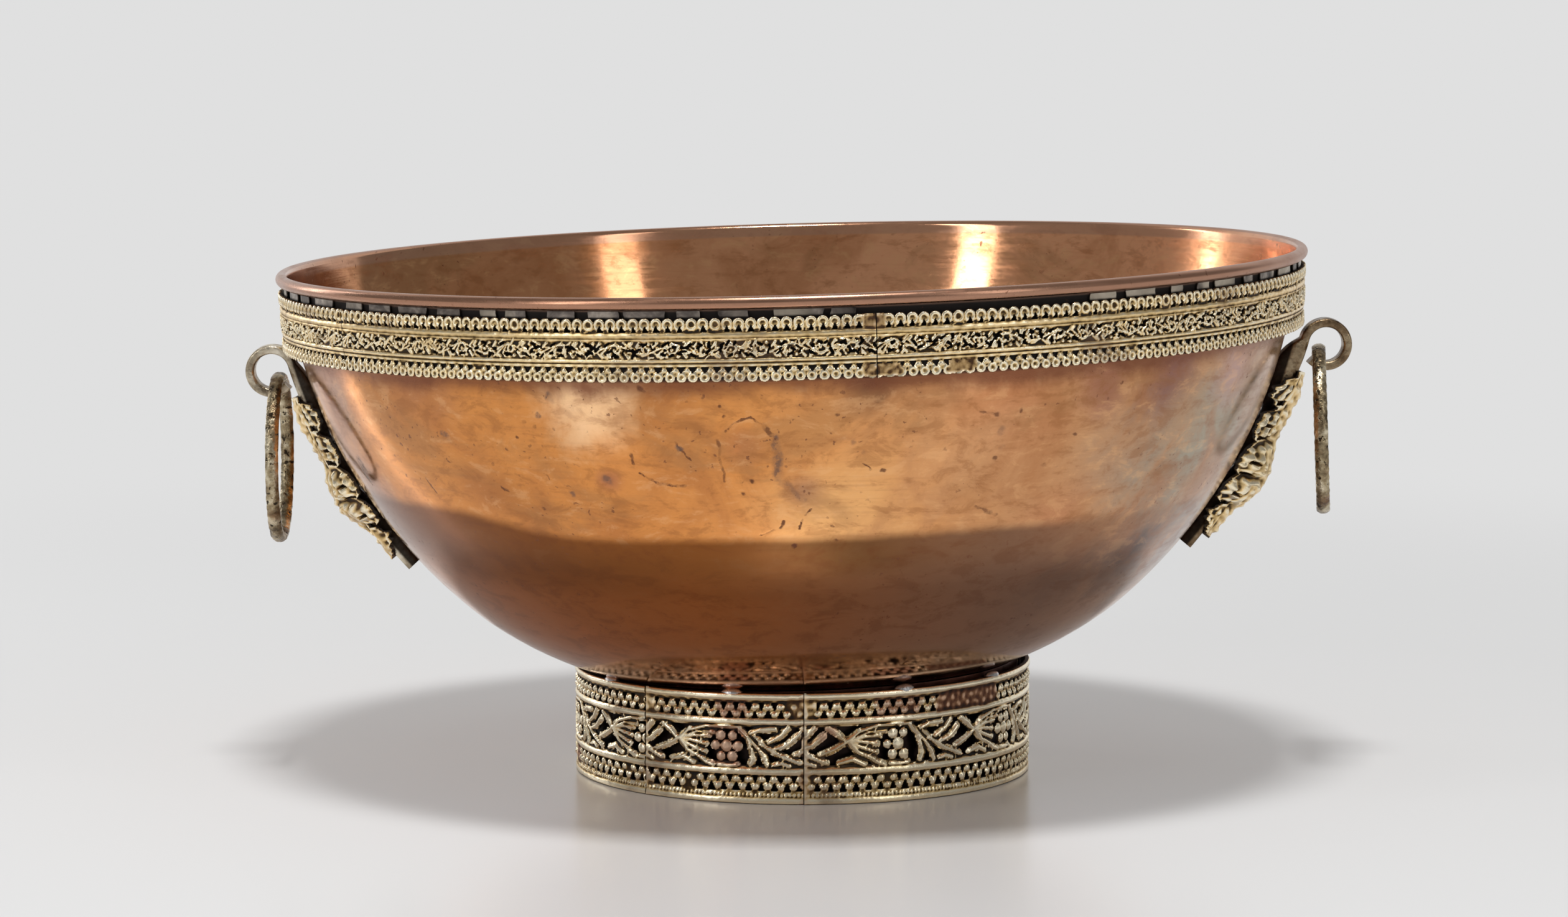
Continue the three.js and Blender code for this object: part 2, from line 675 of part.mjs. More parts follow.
bowl.add(piece('bowl_shell', bowlShell(), copper()));
bowl.add(piece('rim_wire', rimWire(), tinnedCopper()));
for (let i = 0; i < RIM_SECTIONS; i++) {
  bowl.add(piece(`rim_band_${i + 1}`, rimBand(i), brass()));
  bowl.add(piece(`clip_strip_${i + 1}`, clipStrip(i), tinnedCopper()));
}

foot.add(piece('foot_sleeve', footSleeve(), darkCopper()));
FOOT_SEAMS_DEG.forEach((_, i) => foot.add(piece(`foot_panel_${i + 1}`, footPanel(i), brass())));
SOLDER_DEG.forEach((angle, i) => foot.add(piece(`foot_solder_${i + 1}`, footSolder(angle), solder())));

bowl.updateMatrixWorld(true);
for (const handle of HANDLES) {
  bowl.add(piece(`strap_${handle.name}`, strap(handle), darkCopper()));
  bowl.add(piece(`leaf_${handle.name}`, leaf(handle), brass()));
  PADS_DEG.forEach((middle, i) => {
    bowl.add(piece(`handle_solder_${handle.name}_${i + 1}`, solderPad(handle, middle), solder()));
  });
  const [eyeX, eyeZ] = eyeCentre(handle);
  const hinge = new THREE.Group();
  hinge.position.set(handle.side * eyeX, 0, eyeZ).applyMatrix4(bowl.matrixWorld);
  hinge.add(piece(`ring_${handle.name}`, ring(handle), wornBrass()));
  object.add(hinge);
}

// Origin at the middle of the whole object's underside
object.updateMatrixWorld(true);
const box = new THREE.Box3().setFromObject(object, true);
const middle = box.getCenter(new THREE.Vector3());
object.position.set(-middle.x, -middle.y, -box.min.z);
object.updateMatrixWorld(true);

export default object;
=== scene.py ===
import math

import bpy
import numpy as np
from mathutils import Matrix, Vector


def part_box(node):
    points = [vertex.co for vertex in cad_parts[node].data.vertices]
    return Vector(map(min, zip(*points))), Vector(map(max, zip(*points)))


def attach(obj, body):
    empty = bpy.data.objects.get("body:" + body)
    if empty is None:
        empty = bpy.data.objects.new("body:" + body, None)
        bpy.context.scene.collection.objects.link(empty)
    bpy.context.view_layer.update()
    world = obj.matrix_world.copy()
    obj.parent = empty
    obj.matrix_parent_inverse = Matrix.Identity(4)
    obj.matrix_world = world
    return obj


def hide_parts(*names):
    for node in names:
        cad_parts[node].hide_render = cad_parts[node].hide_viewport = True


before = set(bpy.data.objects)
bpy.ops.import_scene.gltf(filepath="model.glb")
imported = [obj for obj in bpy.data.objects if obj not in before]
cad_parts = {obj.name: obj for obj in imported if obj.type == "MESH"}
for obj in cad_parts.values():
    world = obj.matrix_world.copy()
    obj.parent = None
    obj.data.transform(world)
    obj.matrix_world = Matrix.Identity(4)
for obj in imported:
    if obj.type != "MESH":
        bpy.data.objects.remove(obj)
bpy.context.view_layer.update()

# Camera: a long lens in front of the bowl, a little above the rim and tipped down. Its place
# was worked out from the rim, the foot and both eyes.
TIPPED_DOWN_DEG = 6.29
camera_data = bpy.data.cameras.new("studio_camera")
camera_data.lens = 117.0
camera_data.sensor_width = 36.0
camera_data.clip_end = 40.0
camera = bpy.data.objects.new("studio_camera", camera_data)
camera.location = (-0.0054, -1.881, 0.3227)
camera.rotation_euler = (math.radians(90 - TIPPED_DOWN_DEG), 0, 0)
bpy.context.scene.collection.objects.link(camera)
bpy.context.scene.camera = camera


# Studio floor and backdrop: one pale sheet that sweeps up behind the bowl. It has a slight
# gloss, takes the bowl's shadow, and fades to an even pale grey farther off.
class Wire:
    """An output socket of a shader, whose sums and products are Math nodes in the same tree."""

    def __init__(self, tree, socket=None):
        self.tree = tree
        self.socket = socket

    def node(self, kind, settings=None, inputs=None, out=0):
        made = self.tree.nodes.new("ShaderNode" + kind)
        for key, value in (settings or {}).items():
            if key == "stops":
                ramp = made.color_ramp
                while len(ramp.elements) < len(value):
                    ramp.elements.new(0.5)
                for element, (position, colour) in zip(ramp.elements, value):
                    element.position = position
                    element.color = (*colour, 1)
            else:
                setattr(made, key, value)
        for key, value in (inputs or {}).items():
            if isinstance(value, Wire):
                self.tree.links.new(value.socket, made.inputs[key])
            elif hasattr(value, "__len__") and len(value) == 3 and made.inputs[key].type == "RGBA":
                made.inputs[key].default_value = (*value, 1)
            else:
                made.inputs[key].default_value = value
        return Wire(self.tree, made.outputs[out])

    def math(self, operation, *values):
        return self.node("Math", {"operation": operation}, dict(enumerate(values)))

    def __add__(self, other):
        return self.math("ADD", self, other)

    __radd__ = __add__

    def __sub__(self, other):
        return self.math("SUBTRACT", self, other)

    def __rsub__(self, other):
        return self.math("SUBTRACT", other, self)

    def __mul__(self, other):
        return self.math("MULTIPLY", self, other)

    __rmul__ = __mul__

    def at_least(self, other):
        return self.math("MAXIMUM", self, other)

    def between(self, low, high, out_low=0.0, out_high=1.0):
        """A smooth step: out_low where this is at low, out_high where it is at high."""
        settings = {"interpolation_type": "SMOOTHSTEP"}
        values = {0: self, 1: low, 2: high, 3: out_low, 4: out_high}
        return self.node("MapRange", settings, values)

    def mix(self, a, b, blend="MIX"):
        settings = {"data_type": "RGBA", "blend_type": blend}
        return self.node("Mix", settings, {0: self, 6: a, 7: b}, 2)

    def ramp(self, *stops):
        return self.node("ValToRGB", {"stops": stops}, {0: self})

    def noise(self, scale, detail=3.0, roughness=0.55, distortion=0.0):
        values = {"Vector": self, "Scale": scale, "Detail": detail}
        values |= {"Roughness": roughness, "Distortion": distortion}
        return self.node("TexNoise", {}, values)

    def vector(self, operation, *values, out=0):
        values = dict(enumerate((self, *values)))
        return self.node("VectorMath", {"operation": operation}, values, out)

    def stretched(self, *scale):
        return self.vector("MULTIPLY", scale)

    def away_from(self, *point):
        return self.vector("DISTANCE", point, out=1)

    def off_line(self, a, b):
        """Distance from the straight line that joins two points."""
        way = Vector(b) - Vector(a)
        toward = way / way.length_squared
        along = self.vector("DOT_PRODUCT", toward, out=1)
        clamped = {"operation": "SUBTRACT", "use_clamp": True}
        share = self.node("Math", clamped, {0: along, 1: toward.dot(Vector(a))})
        reached = self.node("VectorMath", {"operation": "SCALE"}, {0: way, "Scale": share})
        return self.vector("SUBTRACT", reached).away_from(*a)

    def part(self, axis):
        return self.node("SeparateXYZ", {}, {0: self}, "XYZ".index(axis))

    def bump(self, strength, distance):
        """Normals from this height, where distance is how far in metres a height of 1 stands."""
        return self.node("Bump", {}, {"Strength": strength, "Distance": distance, "Height": self})


def new_finish(name):
    """A material with a bare Principled shader: its start for nodes, and the object's place."""
    material = bpy.data.materials.new(name)
    material.use_nodes = True
    start = Wire(material.node_tree)
    place = start.node("TexCoord", out=3)
    return material, start, place


def surface(material, **values):
    """Sets or links the sockets of the material's Principled shader."""
    shader = material.node_tree.nodes["Principled BSDF"]
    for key, value in values.items():
        socket = shader.inputs[key.replace("_", " ")]
        if isinstance(value, Wire):
            material.node_tree.links.new(value.socket, socket)
        elif socket.type == "RGBA":
            socket.default_value = (*value, 1)
        else:
            socket.default_value = value
    return material


def new_mesh(name, points, faces, sharp_deg):
    """A mesh object from points and faces that all have the same number of corners. It is
    smooth apart from edges that turn by more than sharp_deg."""
    faces = np.ascontiguousarray(faces, dtype=np.int32)
    mesh = bpy.data.meshes.new(name)
    mesh.vertices.add(len(points))
    mesh.vertices.foreach_set("co", np.asarray(points, dtype=np.float32).ravel())
    mesh.loops.add(faces.size)
    mesh.loops.foreach_set("vertex_index", faces.ravel())
    mesh.polygons.add(len(faces))
    starts = np.arange(0, faces.size, faces.shape[1], dtype=np.int32)
    mesh.polygons.foreach_set("loop_start", starts)
    mesh.update(calc_edges=True)
    mesh.shade_smooth()
    mesh.set_sharp_from_angle(angle=math.radians(sharp_deg))
    made = bpy.data.objects.new(name, mesh)
    bpy.context.scene.collection.objects.link(made)
    return made


FLOOR_FRONT, BEND_START, BEND_RADIUS = -8.0, 4.8, 2.4
BACKDROP_TOP, SWEEP_HALF_WIDTH = 10.6, 10.0
sweep = [(FLOOR_FRONT, 0.0), (BEND_START, 0.0)]
for bend in np.linspace(0.05, 1.57, 24):
    back, up = BEND_RADIUS * math.sin(bend), BEND_RADIUS * math.cos(bend)
    sweep.append((BEND_START + back, BEND_RADIUS - up))
sweep.append((BEND_START + BEND_RADIUS, BACKDROP_TOP))
stage_points = [(x, y, z) for y, z in sweep for x in (-SWEEP_HALF_WIDTH, SWEEP_HALF_WIDTH)]
stage_faces = [(2 * i, 2 * i + 1, 2 * i + 3, 2 * i + 2) for i in range(len(sweep) - 1)]
stage = new_mesh("studio_sweep", stage_points, stage_faces, 60)
paint, start, place = new_finish("sweep_paint")
surface(paint, Base_Color=(0.84, 0.84, 0.84), Roughness=0.24, Specular_IOR_Level=0.5)
# The camera and mirror images see an even grey far off. The bowl's own light comes off the paint
CAMERA_RAY, GLOSSY_RAY, TRANSMISSION_RAY = 0, 3, 6
seen = start.node("LightPath", out=CAMERA_RAY).at_least(start.node("LightPath", out=GLOSSY_RAY))
seen = seen.at_least(start.node("LightPath", out=TRANSMISSION_RAY))
even = place.away_from(0.0, 0.1, 0.0).between(0.34, 0.95) * seen
glow = start.node("Emission", {}, {"Color": (0.745, 0.745, 0.745), "Strength": 1.0})
painted = Wire(paint.node_tree, paint.node_tree.nodes["Principled BSDF"].outputs[0])
stage_shade = start.node("MixShader", {}, {0: even, 1: painted, 2: glow})
paint.node_tree.links.new(stage_shade.socket, paint.node_tree.nodes["Material Output"].inputs[0])
stage.data.materials.append(paint)


# Studio light: two tall soft boxes in front at either side, a broad one high overhead, and a
# strip behind the left handle. Dim grey air fills the rest.
def soft_box(name, size, power, location, target):
    lamp = bpy.data.lights.new(name, "AREA")
    lamp.shape = "RECTANGLE"
    lamp.size, lamp.size_y = size
    lamp.energy = power
    made = bpy.data.objects.new(name, lamp)
    made.location = location
    aim = Vector(target) - Vector(location)
    made.rotation_euler = aim.to_track_quat("-Z", "Y").to_euler()
    bpy.context.scene.collection.objects.link(made)


soft_box("box_left", (0.26, 1.35), 5, (-1.22, -1.06, 0.92), (0, 0, 0.5))
soft_box("box_right", (0.3, 1.35), 3, (1.13, -1.15, 0.92), (0, 0, 0.5))
soft_box("box_above", (0.55, 0.55), 53, (0.0, -0.734, 2.98), (0, 0, 0))
soft_box("strip_behind", (0.13, 0.62), 1.9, (-1.05, 0.72, 0.48), (0, 0, 0.12))
world = bpy.data.worlds.new("studio_air")
bpy.context.scene.world = world
world.use_nodes = True
world.node_tree.nodes["Background"].inputs["Color"].default_value = (1, 1, 1, 1)
world.node_tree.nodes["Background"].inputs["Strength"].default_value = 0.25
bpy.context.scene.view_settings.view_transform = "Standard"


# Bowl: one copper sheet raised to a near hemisphere, polished outside, and rolled at the rim
# over a wire. It leans to the left on its foot, so its own frame is tipped and lifted.
SLEEVE_RADIUS = 80.0
SLEEVE_HEIGHT = 40.5
CLEARANCE = 0.3
LEAN_DEG = 1.6
foot_middle = (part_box("foot_sleeve")[0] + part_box("foot_sleeve")[1]) * 500
BOWL_FRAME = Matrix.Translation((foot_middle.x, foot_middle.y, SLEEVE_HEIGHT))
BOWL_FRAME = BOWL_FRAME @ Matrix.Rotation(math.radians(-LEAN_DEG), 4, "Y")
FOOT_FRAME = Matrix.Translation((foot_middle.x, foot_middle.y, 0))


def placed(points, place):
    """Points in millimetres in the bowl's or the foot's frame, in metres in the row's."""
    turn = np.array(place.to_3x3())
    return (np.asarray(points) @ turn.T + np.array(place.translation)) / 1000


RIM_RADIUS, RIM_BELOW_CENTRE, WALL, ROLL_RADIUS = 190.0, 18.6, 1.2, 2.2
ROLL_CENTRE = RIM_RADIUS - ROLL_RADIUS
RIM_WALL = RIM_RADIUS - 2 * ROLL_RADIUS + WALL
SWELL = math.hypot(RIM_WALL, RIM_BELOW_CENTRE)


FLAT_DEPTH, FLAT_REACH = 8.0, 120.0


def flat_lift(radius):
    """How far the bottom is raised over a true sphere, which makes it flatter in the middle."""
    return FLAT_DEPTH * np.clip(1 - (radius / FLAT_REACH) ** 2, 0, None) ** 1.5


def off_wall(polar, height=0.0):
    """Radius and height, in the bowl's frame, at an angle up from the bottom."""
    radius = (SWELL + height) * np.sin(polar)
    return radius, CENTRE_HEIGHT - (SWELL + height) * np.cos(polar) + flat_lift(radius)


CENTRE_HEIGHT = CLEARANCE + math.sqrt(SWELL**2 - SLEEVE_RADIUS**2) - flat_lift(SLEEVE_RADIUS)
ROLL_HEIGHT = CENTRE_HEIGHT - RIM_BELOW_CENTRE


def turned(profile, sides):
    """A closed solid of revolution about Z from a closed loop of (radius, height) points."""
    ring = np.linspace(0, 2 * math.pi, sides, endpoint=False)
    radius, height = np.array(profile).T
    x, y = np.outer(np.sin(ring), radius), -np.outer(np.cos(ring), radius)
    points = np.stack([x, y, np.outer(np.ones(sides), height)], -1)
    return points.reshape(-1, 3), looped_faces(sides, len(profile))


def looped_faces(around, across):
    """Quads over a grid of points that closes on itself both ways."""
    i, j = np.meshgrid(np.arange(around), np.arange(across), indexing="ij")
    next_i, next_j = (i + 1) % around, (j + 1) % across
    corners = [i * across + j, next_i * across + j, next_i * across + next_j, i * across + next_j]
    return np.stack(corners, -1).reshape(-1, 4)


def roll_arc(radius, start_deg, end_deg, steps):
    turns = np.radians(np.linspace(start_deg, end_deg, steps))
    return np.column_stack(
        [ROLL_CENTRE + radius * np.cos(turns), ROLL_HEIGHT + radius * np.sin(turns)]
    )


ROLL_END_DEG = -105
rim_polar = math.atan2(RIM_WALL, RIM_BELOW_CENTRE)
polars = np.linspace(0.004, rim_polar, 90)[:-1]
outside = np.column_stack(off_wall(polars))
inside = np.column_stack(off_wall(polars, -WALL))[::-1]
roll_inside = roll_arc(ROLL_RADIUS - WALL, 180, ROLL_END_DEG, 12)
roll_outside = roll_arc(ROLL_RADIUS, ROLL_END_DEG, 180, 22)
bowl_profile = np.vstack([outside, roll_inside, roll_outside, inside])
bowl_points, bowl_faces = turned(bowl_profile, 320)
bowl = new_mesh("copper_bowl", placed(bowl_points, BOWL_FRAME), bowl_faces, 50)

copper, start, place = new_finish("polished_copper")
across = place.part("X")
rise = place.part("Z") - across * math.tan(math.radians(LEAN_DEG))
swell_centre = BOWL_FRAME @ Vector((0, 0, CENTRE_HEIGHT)) / 1000
outer = place.away_from(*swell_centre).between(SWELL / 1000 - 0.0009, SWELL / 1000 - 0.0004)
broad = place.noise(7, 4, 0.6)
blotch = place.noise(26, 5, 0.62, 0.6)
cloud = place.stretched(1, 1, 1.8).noise(15, 5, 0.66, 1.0)
brushed = place.stretched(24, 24, 620).noise(1, 4, 0.62)
fine = place.noise(600, 2, 0.6)
hue = (broad + across * 1.8).between(0.35, 0.75)
colour = hue.mix((0.76, 0.31, 0.088), (0.68, 0.35, 0.165))
within = across.between(-0.12, 0.04).mix((0.66, 0.3, 0.14), (1.0, 0.48, 0.25))
colour = outer.mix(within, colour)
# Heat tints and oxide patches: middle and radius in metres, strength and colour. Some are painted light:
# the lamps' reflections in the floor as painted highlights, and dark spots of the band's painted shadow
drift = place.node("VectorRotate", {"rotation_type": "Y_AXIS"}, {"Vector": place, "Angle": 0.75})
drift = drift.stretched(14, 30, 60).noise(1, 5, 0.68, 0.8)
TINTS_AND_PAINTED_LIGHT = [
    ((0.0040, -0.1680, 0.1300), 0.070, 0.55, (0.93, 0.4, 0.12)),
    # Painted reflection: the overhead lamp mirrored in the floor, just above the low edge
    ((0.0120, -0.1615, 0.1134), 0.034, 0.75, (1.0, 0.55, 0.22)),
    # Painted highlight: the left soft box mirrored in the floor
    ((-0.0706, -0.1670, 0.1540), 0.024, 0.90, (1.0, 0.66, 0.4)),
    ((-0.1089, -0.1276, 0.1190), 0.016, 0.55, (0.36, 0.14, 0.06)),
    ((-0.0950, -0.1330, 0.1120), 0.018, 0.40, (0.38, 0.15, 0.05)),
    ((-0.1284, -0.0789, 0.0917), 0.030, 0.60, (0.4, 0.21, 0.14)),
    ((-0.1639, -0.0723, 0.1427), 0.022, 0.75, (0.44, 0.29, 0.24)),
    ((-0.1511, -0.0587, 0.1076), 0.028, 0.70, (0.44, 0.25, 0.2)),
    ((0.1400, -0.0700, 0.1250), 0.070, 0.80, (0.44, 0.33, 0.24)),
    ((0.1114, -0.1257, 0.1278), 0.030, 0.50, (0.46, 0.32, 0.22)),
    ((0.1444, -0.0885, 0.1321), 0.034, 0.85, (0.42, 0.40, 0.31)),
    ((0.1255, -0.0980, 0.1120), 0.028, 0.70, (0.38, 0.37, 0.30)),
    ((0.1290, -0.0520, 0.0860), 0.034, 0.90, (0.34, 0.42, 0.47)),
    ((0.1170, -0.0870, 0.0925), 0.028, 0.95, (0.10, 0.08, 0.085)),
    ((0.0910, -0.1067, 0.0847), 0.032, 0.85, (0.14, 0.08, 0.065)),
    ((0.1540, -0.0890, 0.1560), 0.018, 0.75, (0.56, 0.34, 0.31)),
    ((0.1214, -0.1285, 0.1505), 0.016, 0.55, (0.30, 0.21, 0.17)),
    ((0.1280, -0.1240, 0.1590), 0.020, 0.80, (0.27, 0.12, 0.11)),
    ((0.1053, -0.1457, 0.1600), 0.018, 0.75, (0.34, 0.13, 0.10)),
    ((0.1340, -0.1140, 0.1430), 0.014, 0.60, (0.54, 0.33, 0.19)),
    ((0.0870, -0.1330, 0.1100), 0.020, 0.50, (0.58, 0.22, 0.1)),
    ((0.0746, -0.1637, 0.1560), 0.030, 0.50, (0.78, 0.31, 0.14)),
    # Oxide and the band's painted shadow, darkest here and in the next patch
    ((0.0238, -0.1793, 0.1600), 0.014, 0.90, (0.10, 0.05, 0.04)),
    ((-0.1330, -0.1240, 0.1560), 0.028, 0.60, (0.36, 0.16, 0.1)),
    ((-0.0180, -0.1740, 0.1370), 0.015, 0.60, (0.86, 0.31, 0.07)),
    ((-0.0190, -0.1735, 0.1390), 0.010, 0.35, (0.52, 0.17, 0.12)),
    ((-0.0651, -0.1572, 0.1254), 0.006, 0.70, (0.42, 0.16, 0.09)),
    ((0.0010, -0.1675, 0.1230), 0.009, 0.60, (0.34, 0.18, 0.14)),
]
for spot, radius, strength, tone in TINTS_AND_PAINTED_LIGHT:
    wander = (drift - 0.5) * radius * 1.1 + (blotch - 0.5) * radius * 1.1
    patch = (place.away_from(*spot) + wander).between(radius * 1.1, 0.0, 0.0, strength)
    colour = (patch * outer).mix(colour, tone)
colour = (blotch.between(0.47, 0.68) * 0.5).mix(colour, (0.46, 0.17, 0.06))
colour = (cloud.between(0.47, 0.66) * 0.45).mix(colour, (0.4, 0.2, 0.085))
mottle = place.stretched(70, 70, 150).noise(1, 5, 0.7, 0.4)
colour = (mottle.between(0.5, 0.64) * 0.4).mix(colour, (0.34, 0.13, 0.045))
colour = (mottle.between(0.47, 0.34) * 0.3).mix(colour, (0.98, 0.55, 0.26))
colour = (brushed.between(0.5, 0.78) * 0.25).mix(colour, (0.38, 0.16, 0.07))
# Darker, browner copper low on the wall, with a clear edge at the front: partly a darker patina, partly a
# painted reflection of the bowl's shadow on the floor, which is why it is strongest at the front
facing = place.part("Y").between(0.03, -0.08, 0.45, 0.88)
to_right = across.between(0.13, 0.07, 0.3, 1.0)
climb = rise + blotch * 0.004 - across.between(-0.07, -0.13, 0.0, 0.008)
low = climb.between(0.1095, 0.1045) * facing * to_right
edge = across.between(-0.04, 0.09).mix((0.17, 0.053, 0.012), (0.19, 0.1, 0.062))
# A spot on that edge is painted darker still: painted shade over the overhead lamp's reflection in the
# floor
painted_shade_spot = place.away_from(0.008, -0.148, 0.095).between(0.045, 0.006, 0.0, 0.9)
edge = painted_shade_spot.mix(edge, (0.08, 0.028, 0.008))
bottom = across.between(-0.04, 0.09).mix((0.48, 0.165, 0.047), (0.4, 0.23, 0.155))
low_patina_and_shadow_reflection = rise.between(0.098, 0.079).mix(edge, bottom)
low_patina_and_shadow_reflection = (mottle.between(0.47, 0.64) * 0.3).mix(low_patina_and_shadow_reflection, (0.16, 0.05, 0.018))
colour = low.mix(colour, low_patina_and_shadow_reflection)
# A painted highlight close under the band, left of the middle: the left soft box's reflection in the
# floor
painted_highlight = place.away_from(-0.0706, -0.167, 0.154) + (blotch - 0.5) * 0.045
painted_highlight = painted_highlight.between(0.027, 0.0, 0.0, 0.9) * outer * mottle.between(0.62, 0.45, 0.5, 1.0)
colour = painted_highlight.mix(colour, (1.0, 0.63, 0.34))
# Oxide close under the brass band, which is also the band's painted shadow, and painted shade behind the
# band up to the roll, where the copper is near black
band_shadow_and_oxide = (rise + blotch * 0.012 - 0.006).between(0.1545, 0.1615) * outer
colour = (band_shadow_and_oxide * 0.8).mix(colour, (0.2, 0.07, 0.04))
painted_black_behind_band = outer * rise.between(0.1612, 0.163) * rise.between(0.1868, 0.1862)
colour = painted_black_behind_band.mix(colour, (0.02, 0.014, 0.012))
roll = rise.between(0.1856, 0.1866)
colour = (roll * 0.55).mix(colour, (0.56, 0.33, 0.23))
# Spots at one point and runs from one point to another, by colour: each has its points and its
# radius in tenths of a millimetre, and its strength
TENTHS = 10000
MARKS = {
    (0.13, 0.05, 0.03): [
        *((-939, -1517, 1440, 9, 0.9), (-900, -1532, 1423, 8, 0.9), (-839, -1567, 1426, 6, 0.8)),
        *((-971, -1473, 1387, 7, 0.9), (-1440, -1059, 1424, 7, 0.8), (-875, -1386, 1128, 13, 1.0)),
        *((-531, -1742, 1584, 13, 0.9), (-278, -1777, 1520, 8, 0.9), (-261, -1769, 1488, 8, 1.0)),
        *((-163, -1692, 1270, 10, 1.0), (-195, -1662, 1214, 9, 0.9), (-22, -1562, 1031, 11, 1.0)),
        *((115, -1599, 1100, 9, 0.9), (126, -1564, 1046, 9, 0.9), (293, -1677, 1294, 9, 0.9)),
        *((130, -1779, 1495, 8, 0.8), (667, -1639, 1481, 11, 0.8), (664, -1576, 1325, 10, 0.8)),
        *((753, -1603, 1490, 9, 0.8), (943, -1456, 1398, 9, 0.8), (830, -1476, 1295, 9, 0.7)),
        *((-550, -1621, 1279, -472, -1628, 1248, 5, 1.0), (-472, -1628, 1248, -392, -1642, 1237, 7, 1.0)),
        *((-573, -1648, 1354, -567, -1633, 1317, 8, 0.9), (-419, -1709, 1399, -378, -1690, 1331, 5, 0.9)),
        *((-247, -1755, 1442, -200, -1773, 1480, 4, 0.8), (-200, -1773, 1480, -169, -1778, 1486, 4, 0.9)),
        *((-169, -1778, 1486, -127, -1772, 1461, 5, 0.9), (-127, -1772, 1461, -92, -1760, 1421, 9, 0.8)),
        *((-274, -1741, 1413, -254, -1677, 1258, 6, 0.7), (-128, -1579, 1061, -84, -1594, 1082, 5, 1.0)),
        *((-48, -1619, 1121, -60, -1599, 1089, 5, 1.0), (14, -1619, 1124, 10, -1603, 1096, 5, 1.0)),
        *((22, -1628, 1140, 35, -1638, 1158, 5, 1.0), (219, -1706, 1329, 245, -1689, 1302, 5, 1.0)),
        *((605, -1512, 1160, 672, -1456, 1119, 8, 0.7), (609, -1670, 1501, 662, -1641, 1481, 4, 0.7)),
        (-1310, -1061, 1198, -1269, -1068, 1148, 4, 0.8),
        (-1030, -1329, 1199, -1005, -1339, 1187, 6, 0.9),
    ],
    (0.18, 0.11, 0.085): [
        *((-846, -1604, 1534, 21, 1.0), (-895, -1553, 1465, 14, 0.9), (-1228, -1265, 1371, 16, 0.8)),
        *((-778, -1481, 1193, 14, 0.8), (-651, -1572, 1254, 21, 0.8), (-405, -1703, 1375, 13, 0.9)),
        *((687, -1611, 1431, 18, 0.5), (686, -1586, 1369, 14, 0.5), (223, -1723, 1371, 12, 0.7)),
        (181, -1743, 1407, 13, 0.5),
        *((-75, -1757, 1413, -71, -1702, 1282, 19, 0.9), (-50, -1692, 1260, 9, -1664, 1203, 18, 0.5)),
        (-1572, -632, 1215, -1547, -626, 1158, 32, 0.9),
    ],
}
ragged = (fine - 0.5) * 0.0012
# Places on the wall, each pushed a few millimetres sideways, so that no mark is straight or round
bends = place.node("TexNoise", {}, {"Vector": place, "Scale": 90, "Detail": 3}, 1)
bent = bends.vector("SUBTRACT", (0.5, 0.5, 0.5)).vector("MULTIPLY_ADD", (0.006,) * 3, place)
bent = bent.vector("SUBTRACT", swell_centre).vector("NORMALIZE")
bent = bent.vector("MULTIPLY_ADD", (SWELL / 1000,) * 3, swell_centre)
broken = place.noise(260, 3, 0.6).between(0.42, 0.56, 0.3, 0.9)
stain = None
for tone, marks in MARKS.items():
    mask = None
    for *ends, radius, dark in marks:
        ends = [coordinate / TENTHS for coordinate in ends]
        radius /= TENTHS
        away = bent.off_line(ends[:3], ends[3:]) if len(ends) > 3 else bent.away_from(*ends)
        frayed = (mottle - 0.5) * radius * 1.6
        spot = (away + ragged + frayed).between(radius * 1.2, radius * 0.35, 0.0, dark)
        mask = spot if mask is None else mask.at_least(spot)
    mask = mask * outer * broken
    colour = mask.mix(colour, tone)
    stain = mask if stain is None else stain.at_least(mask)
speckle = place.noise(480, 2, 0.5).between(0.67, 0.71) * cloud.between(0.42, 0.6) * 0.7
colour = speckle.mix(colour, (0.2, 0.08, 0.045))
shine = blotch.between(0.35, 0.75, 0.075, 0.13) + brushed.between(0.4, 0.7, 0.0, 0.05)
shine = shine + mottle.between(0.45, 0.65, 0.0, 0.06) + across.between(0.075, 0.15) * 0.07
dents = place.noise(9, 1.5, 0.4)
surface(
    copper,
    Base_Color=colour,
    Metallic=1 - painted_black_behind_band * 0.7,
    Roughness=shine + stain * 0.25 + speckle * 0.2 + painted_black_behind_band * 0.5 + band_shadow_and_oxide * 0.15,
    Normal=(dents + brushed * 0.02 + fine * 0.006 - stain * 0.06).bump(0.35, 0.002),
)
bowl.data.materials.append(copper)
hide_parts("bowl_shell")
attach(bowl, "bowl")


# Rim wire: a drawn wire that the bowl's edge is rolled over. It was tinned with the edge and
# is hidden in the roll, so its solid only takes the tinned finish of the clips.
tinned, start, place = new_finish("tinned_metal")
dull = place.noise(90, 5, 0.65, 0.5)
grey = dull.ramp((0.32, (0.04, 0.033, 0.03)), (0.5, (0.19, 0.16, 0.14)), (0.7, (0.5, 0.43, 0.36)))
grey = (place.noise(26, 2, 0.5).between(0.48, 0.58) * 0.75).mix(grey, (0.6, 0.52, 0.41))
# Painted shade: the clips are near black below the band's top, behind the band
clip_painted_shade = place.part("Z") - place.part("X") * math.tan(math.radians(LEAN_DEG))
surface(
    tinned,
    Base_Color=clip_painted_shade.between(0.1846, 0.1838).mix(grey, (0.012, 0.01, 0.009)),
    Metallic=0.85,
    Roughness=dull.between(0.3, 0.7, 0.55, 0.34),
    Normal=dull.bump(0.5, 0.0008),
)
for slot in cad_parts["rim_wire"].material_slots:
    slot.material = tinned


